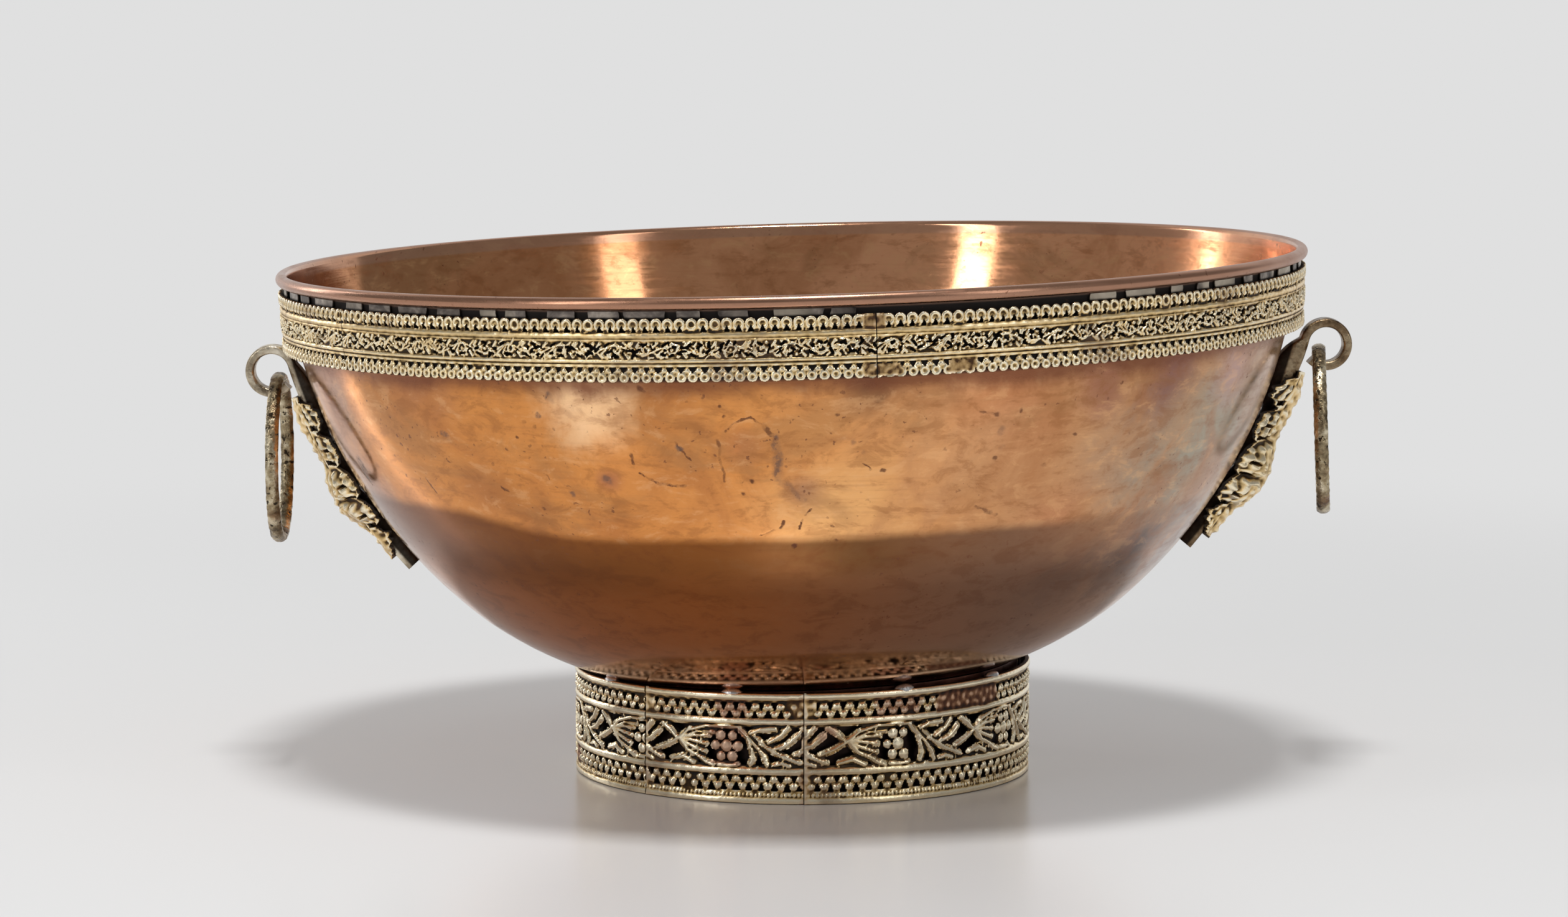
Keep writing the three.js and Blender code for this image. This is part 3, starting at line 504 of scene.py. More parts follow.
# Clip strips: dull tinned strips whose uneven tabs stand up behind the brass band to hold it to
# the roll. Dark gaps are left between the tabs.
class Chasing:
    """A strip of pierced metal on a fine grid, in millimetres: how far each point lies inside
    the metal, the heights of the face and of the back, and how coppery the face is worn."""

    THINNEST = 0.3
    MOST_COPIES = 1024

    def __init__(self, length, height, step, seed):
        columns, rows = (int(round(size / step)) + 1 for size in (length, height))
        self.u, self.v = np.meshgrid(
            np.linspace(0, length, columns), np.linspace(0, height, rows), indexing="ij"
        )
        self.metal = np.full(self.u.shape, -9.0)
        self.face = np.full(self.u.shape, self.THINNEST)
        self.back = np.zeros(self.u.shape)
        self.red = np.zeros(self.u.shape)
        self.chance = np.random.default_rng(seed)

    def lay(self, metal, face):
        """Adds metal where it is over 0, and lifts the face there and just round it."""
        self.metal = np.maximum(self.metal, metal)
        self.face = np.maximum(self.face, np.where(metal > -0.4, face, self.THINNEST))

    def cut(self, hole):
        self.metal = np.minimum(self.metal, -hole)

    def copies(self, pitch, start, wander):
        """Distances from the nearest repeats, each a little out of place, and their numbers."""
        shift = self.chance.uniform(-wander, wander, (2, self.MOST_COPIES))
        near = np.round((self.u - start) / pitch).astype(int)
        for number in (near - 1, near, near + 1):
            along = self.u - start - number * pitch - shift[0][number]
            yield along, self.v - shift[1][number], number

    def rail(self, low, high, foot, *ridges):
        """A plain rail. Each ridge on it is its middle, half width and height."""
        face = np.full(self.u.shape, foot)
        for middle, half, top in ridges:
            share = np.clip(1 - ((self.v - middle) / half) ** 2, 0, 1)
            face = np.maximum(face, foot + (top - foot) * np.sqrt(share))
        self.lay(np.minimum(self.v - low, high - self.v), face)

    def beads(self, pitch, start, v, radius, foot, top, wander=0.12, dimple=0.0):
        """Round beads of slightly different sizes, with a dimple on top if it is over 0."""
        sizes = self.chance.uniform(0.86, 1.08, self.MOST_COPIES)
        tops = self.chance.uniform(0.75, 1.0, self.MOST_COPIES)
        for along, up, number in self.copies(pitch, start, wander):
            away = np.hypot(along, up - v) / (radius * sizes[number])
            dome = np.sqrt(np.clip(1 - away**2, 0, 1)) - dimple * np.exp(-((away / 0.32) ** 2))
            self.lay((1 - away) * radius, foot + (top - foot) * dome * tops[number])

    def arches(self, pitch, start, v, radius, foot, top, wander=0.1):
        """Round discs with a raised cord along their edge and a hollow middle."""
        cord_half = 0.55
        for along, up, _ in self.copies(pitch, start, wander):
            away = np.hypot(along, up - v)
            cord = np.sqrt(np.clip(1 - ((away - radius + cord_half) / cord_half) ** 2, 0, 1))
            self.lay(radius - away, foot + (top - foot) * cord)

    def stroke(self, pitch, start, path, radii, foot, top, wander=0.15):
        """A raised stroke that tapers along a path, or a slot where its top is None."""
        widths = np.linspace(*radii, len(path))
        for along, up, number in self.copies(pitch, start, wander):
            for (u0, v0), (u1, v1), r0, r1 in zip(path, path[1:], widths, widths[1:]):
                du, dv = u1 - u0, v1 - v0
                share = ((along - u0) * du + (up - v0) * dv) / (du**2 + dv**2)
                share = np.clip(share, 0, 1)
                away = np.hypot(along - u0 - share * du, up - v0 - share * dv)
                radius = r0 + (r1 - r0) * share
                if top is None:
                    self.cut(radius - away)
                else:
                    dome = np.sqrt(np.clip(1 - (away / radius) ** 2, 0, 1))
                    self.lay(radius - away, foot + (top - foot) * dome)

    def holes(self, pitch, start, base, tip, half, wander=0.1, missing=0.1):
        """Spade holes from a broad base to a narrow tip, some of them filled with dirt."""
        sizes = self.chance.uniform(0.75, 1.15, self.MOST_COPIES)
        sizes[self.chance.random(self.MOST_COPIES) < missing] = 0.0
        for along, up, number in self.copies(pitch, start, wander):
            share = (up - base) / (tip - base)
            width = half * sizes[number] * np.clip(1.02 - share, 0, 1) ** 0.75
            height = np.minimum(share, 1 - share) * abs(tip - base)
            self.cut(np.where(sizes[number] > 0, np.minimum(width - np.abs(along), height), -1.0))

    def ripples(self, size):
        """An uneven surface from -1 to 1 whose bumps are about this many millimetres across."""
        turns = self.chance.uniform(0, 2 * math.pi, 14)
        rates = 2 * math.pi / size * self.chance.uniform(0.35, 0.9, 14)
        starts = self.chance.uniform(0, 9, 14)
        waves = zip(np.cos(turns) * rates, np.sin(turns) * rates, starts)
        return sum(np.sin(self.u * a + self.v * b + c) for a, b, c in waves) / 5

    def flecks(self, count, low, high, length, half, foot, top):
        """Short strokes strewn at random between two heights, or small slots if top is None."""
        step = self.v[0, 1]
        reach = int((length[1] + 1) / step)
        for _ in range(int(count)):
            u0 = self.chance.uniform(0.5, self.u[-1, 0] - 0.5)
            v0 = self.chance.uniform(low, high)
            turn = self.chance.uniform(0, math.pi)
            size, thick = self.chance.uniform(*length), self.chance.uniform(*half)
            i, j = int(u0 / step), int(v0 / step)
            window = (slice(max(0, i - reach), i + reach), slice(max(0, j - reach), j + reach))
            u, v = self.u[window] - u0, self.v[window] - v0
            along = np.clip(u * math.cos(turn) + v * math.sin(turn), -size / 2, size / 2)
            away = np.hypot(u - along * math.cos(turn), v - along * math.sin(turn))
            if top is None:
                self.metal[window] = np.minimum(self.metal[window], away - thick)
            else:
                rise = foot + (top - foot) * np.sqrt(np.clip(1 - (away / thick) ** 2, 0, 1))
                self.face[window] = np.maximum(self.face[window], np.where(away < thick, rise, 0))

    def wear(self, from_u, to_u, low, high, fill=1.0, face=0.85, red=1.0):
        """A stretch where the chasing is rubbed or filled to a plainer coppery face."""
        window = np.minimum(np.minimum(self.u - from_u, to_u - self.u) / 3, 1)
        window = np.minimum(window, np.minimum(self.v - low, high - self.v) / 1.2 + 0.35)
        share = np.clip(window * 1.3 + 0.45 * self.ripples(6.0), 0, 1) * (window > 0)
        solid = (share * fill > 0.55) & (self.v > 0.2)
        self.metal = np.where(solid, np.maximum(self.metal, 0.4), self.metal)
        plain = face + 0.12 * self.ripples(2.2)
        self.face = self.face + (plain - self.face) * share * fill * 0.85
        self.red = np.maximum(self.red, share * red)

    def relief(self):
        """How far each point stands over what lies round it, from 0 deep down to 1 on top."""
        level = np.where(self.metal > 0, self.face, self.face - 1.2)
        near = level
        for axis in (0, 1):
            near = sum(np.roll(near, step, axis) for step in range(-3, 4)) / 7
        thick = np.minimum(self.face - self.back, 1.6)
        return np.clip(0.3 + 0.2 * thick + 0.75 * (level - near), 0, 1)

    def drop_loose(self, held_low, held_high):
        """Takes away bits of metal that nothing joins to the rail between two heights."""
        metal = self.metal > 0
        held = metal & (self.v > held_low) & (self.v < held_high)
        while True:
            grown = held.copy()
            for axis in (0, 1):
                for step in (1, -1):
                    grown |= np.roll(held, step, axis)
            grown &= metal
            if (grown == held).all():
                break
            held = grown
        self.metal[metal & ~held] = -1.0


def pierced(strip, place):
    """The closed body of a strip: face and back where there is metal, and walls between them.
    Gives its points, its triangles, and each point's relief and redness."""
    here = np.arange(strip.u.size).reshape(strip.u.shape)
    a, b, c, d = here[:-1, :-1], here[1:, :-1], here[1:, 1:], here[:-1, 1:]
    cells = np.concatenate([np.stack([a, b, c], -1), np.stack([a, c, d], -1)]).reshape(-1, 3)
    metal = strip.metal.ravel()
    grids = (strip.u, strip.v, strip.face, strip.relief(), strip.red, strip.back)
    values = np.column_stack([grid.ravel() for grid in grids])
    within = metal[cells] > 0
    count = within.sum(1)

    def lone_first(wanted, lone):
        part, marks = cells[count == wanted], within[count == wanted]
        order = (np.argmax(marks == lone, axis=1)[:, None] + np.arange(3)) % 3
        return np.take_along_axis(part, order, 1)

    one, two = lone_first(1, True), lone_first(2, False)
    crossed = [(one[:, 0], one[:, 1]), (one[:, 0], one[:, 2])]
    crossed += [(two[:, 1], two[:, 0]), (two[:, 2], two[:, 0])]
    keys = np.concatenate([solid * metal.size + empty for solid, empty in crossed])
    edges, where = np.unique(keys, return_inverse=True)
    cut = np.split(where + metal.size, np.cumsum([len(solid) for solid, _ in crossed])[:-1])
    corners = [(one[:, 0], cut[0], cut[1]), (cut[2], two[:, 1], two[:, 2])]
    corners.append((cut[2], two[:, 2], cut[3]))
    faces = np.concatenate([cells[count == 3]] + [np.stack(three, 1) for three in corners])
    solid, empty = edges // metal.size, edges % metal.size
    share = np.clip(metal[solid] / (metal[solid] - metal[empty]), 0.1, 0.9)[:, None]
    values = np.vstack([values, values[solid] + (values[empty] - values[solid]) * share])
    used, faces = np.unique(faces, return_inverse=True)
    faces = faces.reshape(-1, 3)
    u, v, face, relief, red, back_face = values[used].T
    total = len(used)
    sides = np.concatenate([faces[:, [0, 1]], faces[:, [1, 2]], faces[:, [2, 0]]])
    there, back = sides[:, 0] * total + sides[:, 1], sides[:, 1] * total + sides[:, 0]
    i, j = sides[~np.isin(there, back)].T
    walls = [np.stack([j, i, i + total], 1), np.stack([j, i + total, j + total], 1)]
    faces = np.concatenate([faces, faces[:, ::-1] + total, *walls])
    points = np.concatenate([place(u, v, face), place(u, v, back_face)])
    return points, faces, np.concatenate([relief, relief * 0]), np.tile(red, 2)


def chased_piece(name, strip, place, matrix):
    """A piece cut from a strip, whose points carry how worn and how deep down they are."""
    points, faces, relief, red = pierced(strip, place)
    piece = new_mesh(name, placed(points, matrix), faces, 55)
    for key, values in (("relief", relief), ("redness", red)):
        layer = piece.data.attributes.new(key, "FLOAT", "POINT")
        layer.data.foreach_set("value", values.astype(np.float32))
    return piece


def span_between(from_deg, to_deg, inside):
    """Where a section between two seams starts and ends, in radians from the front."""
    half_seam = math.degrees(SEAM / inside) / 2
    return math.radians(from_deg + half_seam), math.radians(to_deg - half_seam)


def bent_round(span, length, u, radius, height):
    """Points at a length u along a section that is bent round the Z axis."""
    turn = span[0] + (span[1] - span[0]) * u / length
    return np.column_stack([radius * np.sin(turn), -radius * np.cos(turn), height])


BAND_DROP, BAND_HEIGHT, BAND_TAPER = 2.5, 21.8, 1.0
SEAM = 0.35
SECTIONS, SECTION_DEG, FIRST_SEAM_DEG = 6, 65.3, -56.8
CLIP_THICKNESS, CLIP_COVERED, CLIP_RAIL, CLIP_FLAT = 0.4, 4.0, 2.4, 19.5
CLIP_OUTSIDE = RIM_WALL + CLIP_FLAT**2 / (8 * RIM_WALL) + CLIP_THICKNESS
BAND_INSIDE = CLIP_OUTSIDE + CLEARANCE
BAND_TOP = ROLL_HEIGHT - ROLL_RADIUS - BAND_DROP
BAND_BOTTOM = BAND_TOP - BAND_HEIGHT
BARE_SECTION, BARE_UNTIL = 1, 74
seams_deg = [FIRST_SEAM_DEG + SECTION_DEG * number for number in range(SECTIONS)]
seams_deg.append(FIRST_SEAM_DEG + 360)

for number in range(SECTIONS):
    span = span_between(seams_deg[number], seams_deg[number + 1], BAND_INSIDE)
    length = (span[1] - span[0]) * CLIP_OUTSIDE
    clip = Chasing(length, CLIP_COVERED + BAND_DROP - CLEARANCE, 0.4, 20 + number)
    clip.rail(0, CLIP_RAIL, CLIP_THICKNESS)
    begin = clip.chance.uniform(0, 5)
    while begin < length - 6:
        end = begin + clip.chance.uniform(5, 17)
        ragged_end = 0.35 * clip.ripples(3.0)
        tab = np.minimum(clip.u - begin, min(end, length) - clip.u) + ragged_end
        # The tabs are broken off for a stretch to the right of the front seam
        if number != BARE_SECTION or begin > BARE_UNTIL:
            clip.lay(tab, np.full(clip.u.shape, CLIP_THICKNESS))
        begin = end + clip.chance.uniform(1.5, 9)

    def behind_band(u, v, face):
        radius = CLIP_OUTSIDE - CLIP_THICKNESS + face
        return bent_round(span, length, u, radius, BAND_TOP - CLIP_COVERED + v)

    clip_piece = chased_piece(f"tabbed_clip_{number + 1}", clip, behind_band, BOWL_FRAME)
    clip_piece.data.materials.append(tinned)
    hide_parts(f"clip_strip_{number + 1}")
    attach(clip_piece, "bowl")

# Rim band: six lengths of cast and pierced brass gallery strip, held by the clips. Both edges
# are rows of small arches and beads over spade holes. A leafy scroll runs between plain rails.
REPEAT, VINE_REPEAT, VINE_MIDDLE = 4.0, 20.0, 11.0
# What each curl of the vine carries, in millimetres from its middle: strokes by their path, end
# radii and height, beads by their place, radius and height, and slots by their path and radii
VINE_CURL = [(2.0 * math.cos(a), 0.4 + 1.5 * math.sin(a)) for a in np.linspace(3.4, 8.0, 9)]
VINE_STROKES = [
    (VINE_CURL, (0.28, 0.6), 1.5),
    ([(-1.84, 0.9), (-4.6, -1.3), (-3.7, -2.4)], (0.3, 0.75), 1.6),
    ([(-0.96, 0.9), (-2.4, -1.3), (-1.5, -2.4)], (0.3, 0.55), 1.6),
    ([(1.56, 0.9), (3.9, -1.3), (4.8, -2.4)], (0.3, 0.7), 1.6),
    ([(3.6, 0.8), (5.4, 2.3)], (0.3, 0.75), 1.5),
]
VINE_BEADS = [(0.0, -0.1, 0.7, 1.6), (2.0, -2.1, 0.65, 1.6), (5.0, -0.6, 0.6, 1.5)]
VINE_SLOTS = [
    ([(-3.2, 1.5), (-1.9, 2.4)], (0.55, 0.3)),
    ([(0.4, -1.6), (-0.9, -2.2)], (0.5, 0.3)),
    ([(3.3, -0.4), (2.9, -1.3)], (0.3, 0.45)),
]


def gallery_strip(length, seed):
    strip = Chasing(length, BAND_HEIGHT, REPEAT / 12, seed)
    half = REPEAT / 2
    strip.rail(16.5, 19.4, 0.75)
    strip.rail(2.0, 5.6, 0.7)
    strip.arches(REPEAT, 0, 19.65, 2.05, 1.1, 1.55)
    strip.arches(REPEAT, 0, 1.8, 1.75, 1.25, 1.55)
    strip.beads(REPEAT, half, 18.5, 0.75, 0.7, 1.4)
    strip.beads(REPEAT, half, 3.9, 1.1, 0.7, 1.55, dimple=0.2)
    strip.holes(REPEAT, 0, 16.95, 19.2, 1.15, missing=0.12)
    strip.holes(REPEAT, 0, 5.2, 3.1, 1.35, missing=0.08)
    strip.rail(5.3, 8.05, 0.85, (7.3, 0.7, 1.4), (5.9, 0.4, 1.1))
    strip.rail(13.9, 16.8, 0.85, (15.7, 0.9, 1.3), (14.4, 0.4, 1.25))
    strip.lay(np.minimum(strip.v - 7.9, 14.1 - strip.v), 0.6 + 0.12 * strip.ripples(2.0))
    turns = np.linspace(0, 2 * math.pi, 17)
    stem = [(VINE_REPEAT * a / (2 * math.pi), VINE_MIDDLE + 1.5 * math.sin(a)) for a in turns]
    strip.stroke(VINE_REPEAT, 0, stem, (0.4, 0.4), 0.7, 1.5)
    for way, at in ((1, VINE_REPEAT / 4), (-1, VINE_REPEAT * 3 / 4)):
        for path, radii, top in VINE_STROKES:
            path = [(u, VINE_MIDDLE + way * v) for u, v in path]
            strip.stroke(VINE_REPEAT, at, path, radii, 0.7, top)
        for u, v, radius, top in VINE_BEADS:
            strip.beads(VINE_REPEAT, at + u, VINE_MIDDLE + way * v, radius, 0.7, top)
        for path, radii in VINE_SLOTS:
            path = [(u, VINE_MIDDLE + way * v) for u, v in path]
            strip.stroke(VINE_REPEAT, at, path, radii, 0, None)
    strip.flecks(length * 0.9, 8.3, 13.7, (0.7, 2.4), (0.28, 0.55), 0.7, 1.5)
    strip.flecks(length * 0.45, 8.6, 13.4, (0.4, 1.8), (0.3, 0.55), 0, None)
    strip.flecks(length * 0.5, 16.8, 19.0, (0.3, 1.0), (0.25, 0.4), 0.8, 1.2)
    strip.face += 0.05 * strip.ripples(2.5) + 0.04 * strip.ripples(9.0)
    strip.drop_loose(5.8, 7.8)
    return strip


brass, start, place = new_finish("pierced_brass")
relief = start.node("Attribute", {"attribute_name": "relief"}, out=2)
redness = start.node("Attribute", {"attribute_name": "redness"}, out=2)
patch = place.noise(45, 4, 0.6)
dirt = place.noise(420, 3, 0.6)
# The foot panels lie in the bowl's shade, so their middle heights are painted lighter
foot_painted_lighter = place.part("Z").between(0.07, 0.06)
level = relief + (dirt - 0.5) * 0.3
level = level + foot_painted_lighter * relief.between(0.48, 0.6, 0.0, 0.14)
# Colour by relief: near black in the hollows, in the walls of the holes and on the back, which is patina
# and also painted shade; pale brass on the high points
colour = level.ramp(
    (0.24, (0.012, 0.008, 0.005)),
    (0.41, (0.1, 0.058, 0.024)),
    (0.52, (0.6, 0.41, 0.17)),
    (0.66, (0.94, 0.7, 0.37)),
    (0.84, (1.0, 0.89, 0.66)),
)
colour = (patch.between(0.52, 0.72) * 0.5).mix(colour, (0.24, 0.14, 0.085))
gilt = level.ramp((0.4, (0.1, 0.06, 0.02)), (0.75, (1.0, 0.78, 0.42)))
colour = (place.noise(32, 3, 0.6).between(0.5, 0.64) * 0.35).mix(colour, gilt)
rusty = level.ramp(
    (0.25, (0.03, 0.014, 0.01)),
    (0.5, (0.29, 0.13, 0.085)),
    (0.8, (0.66, 0.4, 0.28)),
)
colour = (redness * 0.8).mix(colour, rusty)
surface(
    brass,
    Base_Color=colour,
    Metallic=level.between(0.15, 0.45, 0.3, 1.0),
    Roughness=level.between(0.3, 0.8, 0.6, 0.27) + redness * 0.12,
    Normal=dirt.bump(0.4, 0.0004),
)

for number in range(SECTIONS):
    span = span_between(seams_deg[number], seams_deg[number + 1], BAND_INSIDE)
    length = (span[1] - span[0]) * BAND_INSIDE

    def on_rim(u, v, face):
        radius = BAND_INSIDE - BAND_TAPER * (BAND_HEIGHT - v) / BAND_HEIGHT + face
        return bent_round(span, length, u, radius, BAND_BOTTOM + v)

    strip = gallery_strip(length, 40 + number)
    # Plain stretches at the seam near the front, where the arches are filled or gone
    if number == 0:
        strip.wear(length - 6, length + 4, 16.6, 22)
        strip.wear(length - 5, length + 4, 0.5, 5)
    if number == 1:
        strip.wear(-4, 4, 16.6, 22)
        strip.wear(-4, 9, 0.5, 5)
        strip.wear(23, 35, 0.5, 5)
    strip.red *= 0.35
    band = chased_piece(f"gallery_strip_{number + 1}", strip, on_rim, BOWL_FRAME)
    band.data.materials.append(brass)
    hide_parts(f"rim_band_{number + 1}")
    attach(band, "bowl")

# Foot sleeve: a plain ring of dark copper sheet that carries the bowl. Its top edge is cut on a
# slant, which makes the bowl lean.
SLEEVE_THICKNESS = 1.2


def slanted(points, slant_deg):
    """Points of the foot with their heights stretched, so that the top edge is on a slant."""
    points = np.array(points)
    points[:, 2] *= 1 + points[:, 0] * math.tan(math.radians(slant_deg)) / SLEEVE_HEIGHT
    return points


def underside_above(radius):
    return SLEEVE_HEIGHT + CENTRE_HEIGHT - math.sqrt(SWELL**2 - radius**2) + flat_lift(radius)


sleeve_inside = SLEEVE_RADIUS - SLEEVE_THICKNESS
sleeve_middle = 20.0
sleeve_profile = [
    (sleeve_inside, 0.0),
    (SLEEVE_RADIUS, 0.0),
    (SLEEVE_RADIUS, sleeve_middle),
    (SLEEVE_RADIUS, underside_above(SLEEVE_RADIUS) - CLEARANCE),
    (sleeve_inside, underside_above(sleeve_inside) - CLEARANCE),
    (sleeve_inside, sleeve_middle),
]
sleeve_points, sleeve_faces = turned(sleeve_profile, 200)
sleeve_points = placed(slanted(sleeve_points, LEAN_DEG), FOOT_FRAME)
sleeve = new_mesh("copper_sleeve", sleeve_points, sleeve_faces, 40)
oxide, start, place = new_finish("dark_copper")
cloud = place.noise(30, 5, 0.65, 0.4)
rub = place.noise(180, 3, 0.6)
brown = cloud.ramp(
    (0.3, (0.05, 0.02, 0.014)),
    (0.55, (0.15, 0.055, 0.035)),
    (0.78, (0.33, 0.14, 0.085)),
)
# Painted shade: near black where the pierced panels cover the sleeve
painted_shade_behind_panels = place.part("Z").between(0.0395, 0.0375)
surface(
    oxide,
    Base_Color=(painted_shade_behind_panels * 0.93).mix(brown, (0.01, 0.007, 0.006)),
    Metallic=0.85,
    Roughness=rub.between(0.35, 0.7, 0.3, 0.5),
    Normal=(cloud + rub * 0.3).bump(0.45, 0.0012),
)
sleeve.data.materials.append(oxide)
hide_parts("foot_sleeve")
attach(sleeve, "bowl")

# Foot solder: lumps of grey solder that were run into the gap between the sleeve and the
# pierced panels.
FOOT_GAP = 3.0
FOOT_INSIDE = SLEEVE_RADIUS + FOOT_GAP
FOOT_OUTSIDE = FOOT_INSIDE + 1.1
FOOT_TOP = underside_above(FOOT_OUTSIDE) - 2.0
FOOT_SLANT_DEG = 0.75
SOLDER_DEG = [-57, -18, 26, 56, 118, 176, -125]
SOLDER_OUT, SOLDER_DOWN = 2.5, 0.6
solder, start, place = new_finish("dull_solder")
crust = place.noise(160, 4, 0.6)
grey = crust.ramp((0.3, (0.22, 0.22, 0.22)), (0.55, (0.7, 0.7, 0.7)), (0.75, (0.95, 0.94, 0.93)))
surface(
    solder,
    Base_Color=grey,
    Metallic=0.9,
    Roughness=crust.between(0.3, 0.7, 0.4, 0.2),
    Normal=crust.bump(0.5, 0.001),
)


def lumpy_ball(half_sizes, seed):
    """A closed lump of the given half sizes, dented by a few random waves."""
    around, across = 28, 18
    chance = np.random.default_rng(seed)
    turn = np.linspace(0, 2 * math.pi, around, endpoint=False)
    tip = np.linspace(0, math.pi, across + 2)[1:-1]
    a, b = np.meshgrid(turn, tip, indexing="ij")
    ball = np.stack([np.sin(b) * np.cos(a), np.sin(b) * np.sin(a), np.cos(b)], -1).reshape(-1, 3)
    ball = np.vstack([ball, [(0, 0, 1), (0, 0, -1)]])
    dent = sum(np.sin(ball @ chance.normal(0, 2.6, 3) + chance.uniform(0, 6)) for _ in range(4))
    points = ball * np.array(half_sizes) * (0.92 + 0.02 * dent)[:, None]
    faces = []
    for i in range(around):
        here, there = i * across, (i + 1) % around * across
        for j in range(across - 1):
            a, b, c, d = here + j, here + j + 1, there + j + 1, there + j
            faces += [(a, b, c), (a, c, d)]
        faces.append((around * across, here, there))
        faces.append((around * across + 1, there + across - 1, here + across - 1))
    return points, np.array(faces)


for number, angle in enumerate(SOLDER_DEG):
    points, faces = lumpy_ball((4.6, 2.0, 2.2), 70 + number)
    points += (0, -(SLEEVE_RADIUS + CLEARANCE + SOLDER_OUT), FOOT_TOP - SOLDER_DOWN)
    turn = np.array(Matrix.Rotation(math.radians(angle), 3, "Z"))
    points = placed(slanted(points @ turn.T, FOOT_SLANT_DEG), FOOT_FRAME)
    lump = new_mesh(f"solder_run_{number + 1}", points, faces, 80)
    lump.data.materials.append(solder)
    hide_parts(f"foot_solder_{number + 1}")
    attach(lump, "bowl")

# Foot panels: three lengths of cast and pierced brass bent round the foot. Between beaded
# lattices runs a scroll of stems and leaves with clusters of seven beads.
FOOT_SEAMS_DEG = [-42.4, 0.15, 158.85, 317.6]
CLUSTER_DEG = [-19.2, 23.8, 23.8]
CLUSTER_PITCH_DEG = 36.7
CLUSTER_RADIUS = 4.3
LATTICE = 4.7
SCROLL_REPEAT, SCROLL_MIDDLE, BACKING = 53.9, 20.9, 0.62
# Each stem or leaf by its path from the middle of a cluster, and its half widths at both ends
SCROLL = [
    ([(4.4, 6.8), (7.8, 3.5), (11.5, -0.5), (14, -3.6), (15, -6.8)], (0.55, 0.7)),
    ([(7.8, 3.5), (9.3, -1), (10, -4), (9, -6.5)], (0.5, 0.8)),
    ([(10, 4), (14.5, 0), (20, -3.2), (27, -6)], (0.55, 0.8)),
    ([(9, 4.8), (13, 6.4), (17.5, 6.5)], (0.5, 1.1)),
    ([(15.5, 1.5), (20, 4), (22.5, 7)], (0.6, 0.9)),
    ([(-19, 2), (-13, 3.2), (-7, 3.5)], (0.9, 0.55)),
    ([(-19, 2), (-13.5, 1.4), (-8, 0.5)], (0.9, 0.6)),
    ([(-19, 2), (-14, -0.6), (-8.5, -2.5)], (0.9, 0.6)),
    ([(-19, 2), (-15, -2.4), (-9, -5)], (0.9, 0.6)),
    ([(-29, -3), (-24, -1), (-19.5, 1.5), (-15, 5), (-8, 7), (0, 7.4), (5, 7)], (0.6, 0.6)),
    ([(-16, 3), (-11, 4.9), (-5, 4.8)], (0.45, 0.5)),
    ([(-11, -4), (-8, -6.2), (-5, -7.2)], (0.6, 0.9)),
    ([(-22, -6), (-17, -4.8), (-13, -6.8)], (0.6, 1.0)),
    ([(4, -6.8), (1, -7.2), (-3, -7)], (0.6, 0.9)),
    ([(17, -6.8), (20.5, -6), (23, -7)], (0.5, 0.9)),
    ([(-26, 6.8), (-22.5, 4.4), (-19.5, 1.5)], (0.9, 0.6)),
    ([(12, 1), (17, -1), (22, 0.6), (26, 4)], (0.45, 0.8)),
]
# Worn stretches of each panel: from, to, low, high, how far the chasing is filled there, the
# height of the worn face, and how coppery it is
FOOT_WEAR = [
    [
        (-3, 6.5, 30.8, 38, 0.9, 1.0, 0.2),
        (29, 43, 31, 37.6, 0.0, 0.85, 1.0),
        (56, 66, 31, 38, 0.8, 1.0, 0.35),
        (26, 42, 14, 28, 0.0, 0.85, 1.0),
        (-4, 2.6, -2, 43, 0.9, 1.3, 0.3),
        (60.3, 66.5, -2, 43, 0.8, 1.1, 0.6),
    ],
    [
        (-3, 5.5, 31, 38, 0.9, 1.0, 0.2),
        (3, 12, 22, 28, 0.4, 0.9, 0.9),
        (25, 45, 31, 37.6, 0.0, 0.85, 0.9),
        (50, 85, 30.8, 38, 1.0, 0.85, 1.0),
        (-4, 2.4, -2, 43, 1.0, 1.4, 0.35),
    ],
    [
        (20, 34, 31, 38, 0.9, 0.85, 1.0),
        (100, 112, 14, 28, 0.3, 0.85, 1.0),
        (170, 182, 4, 11, 0.8, 0.85, 1.0),
    ],
]


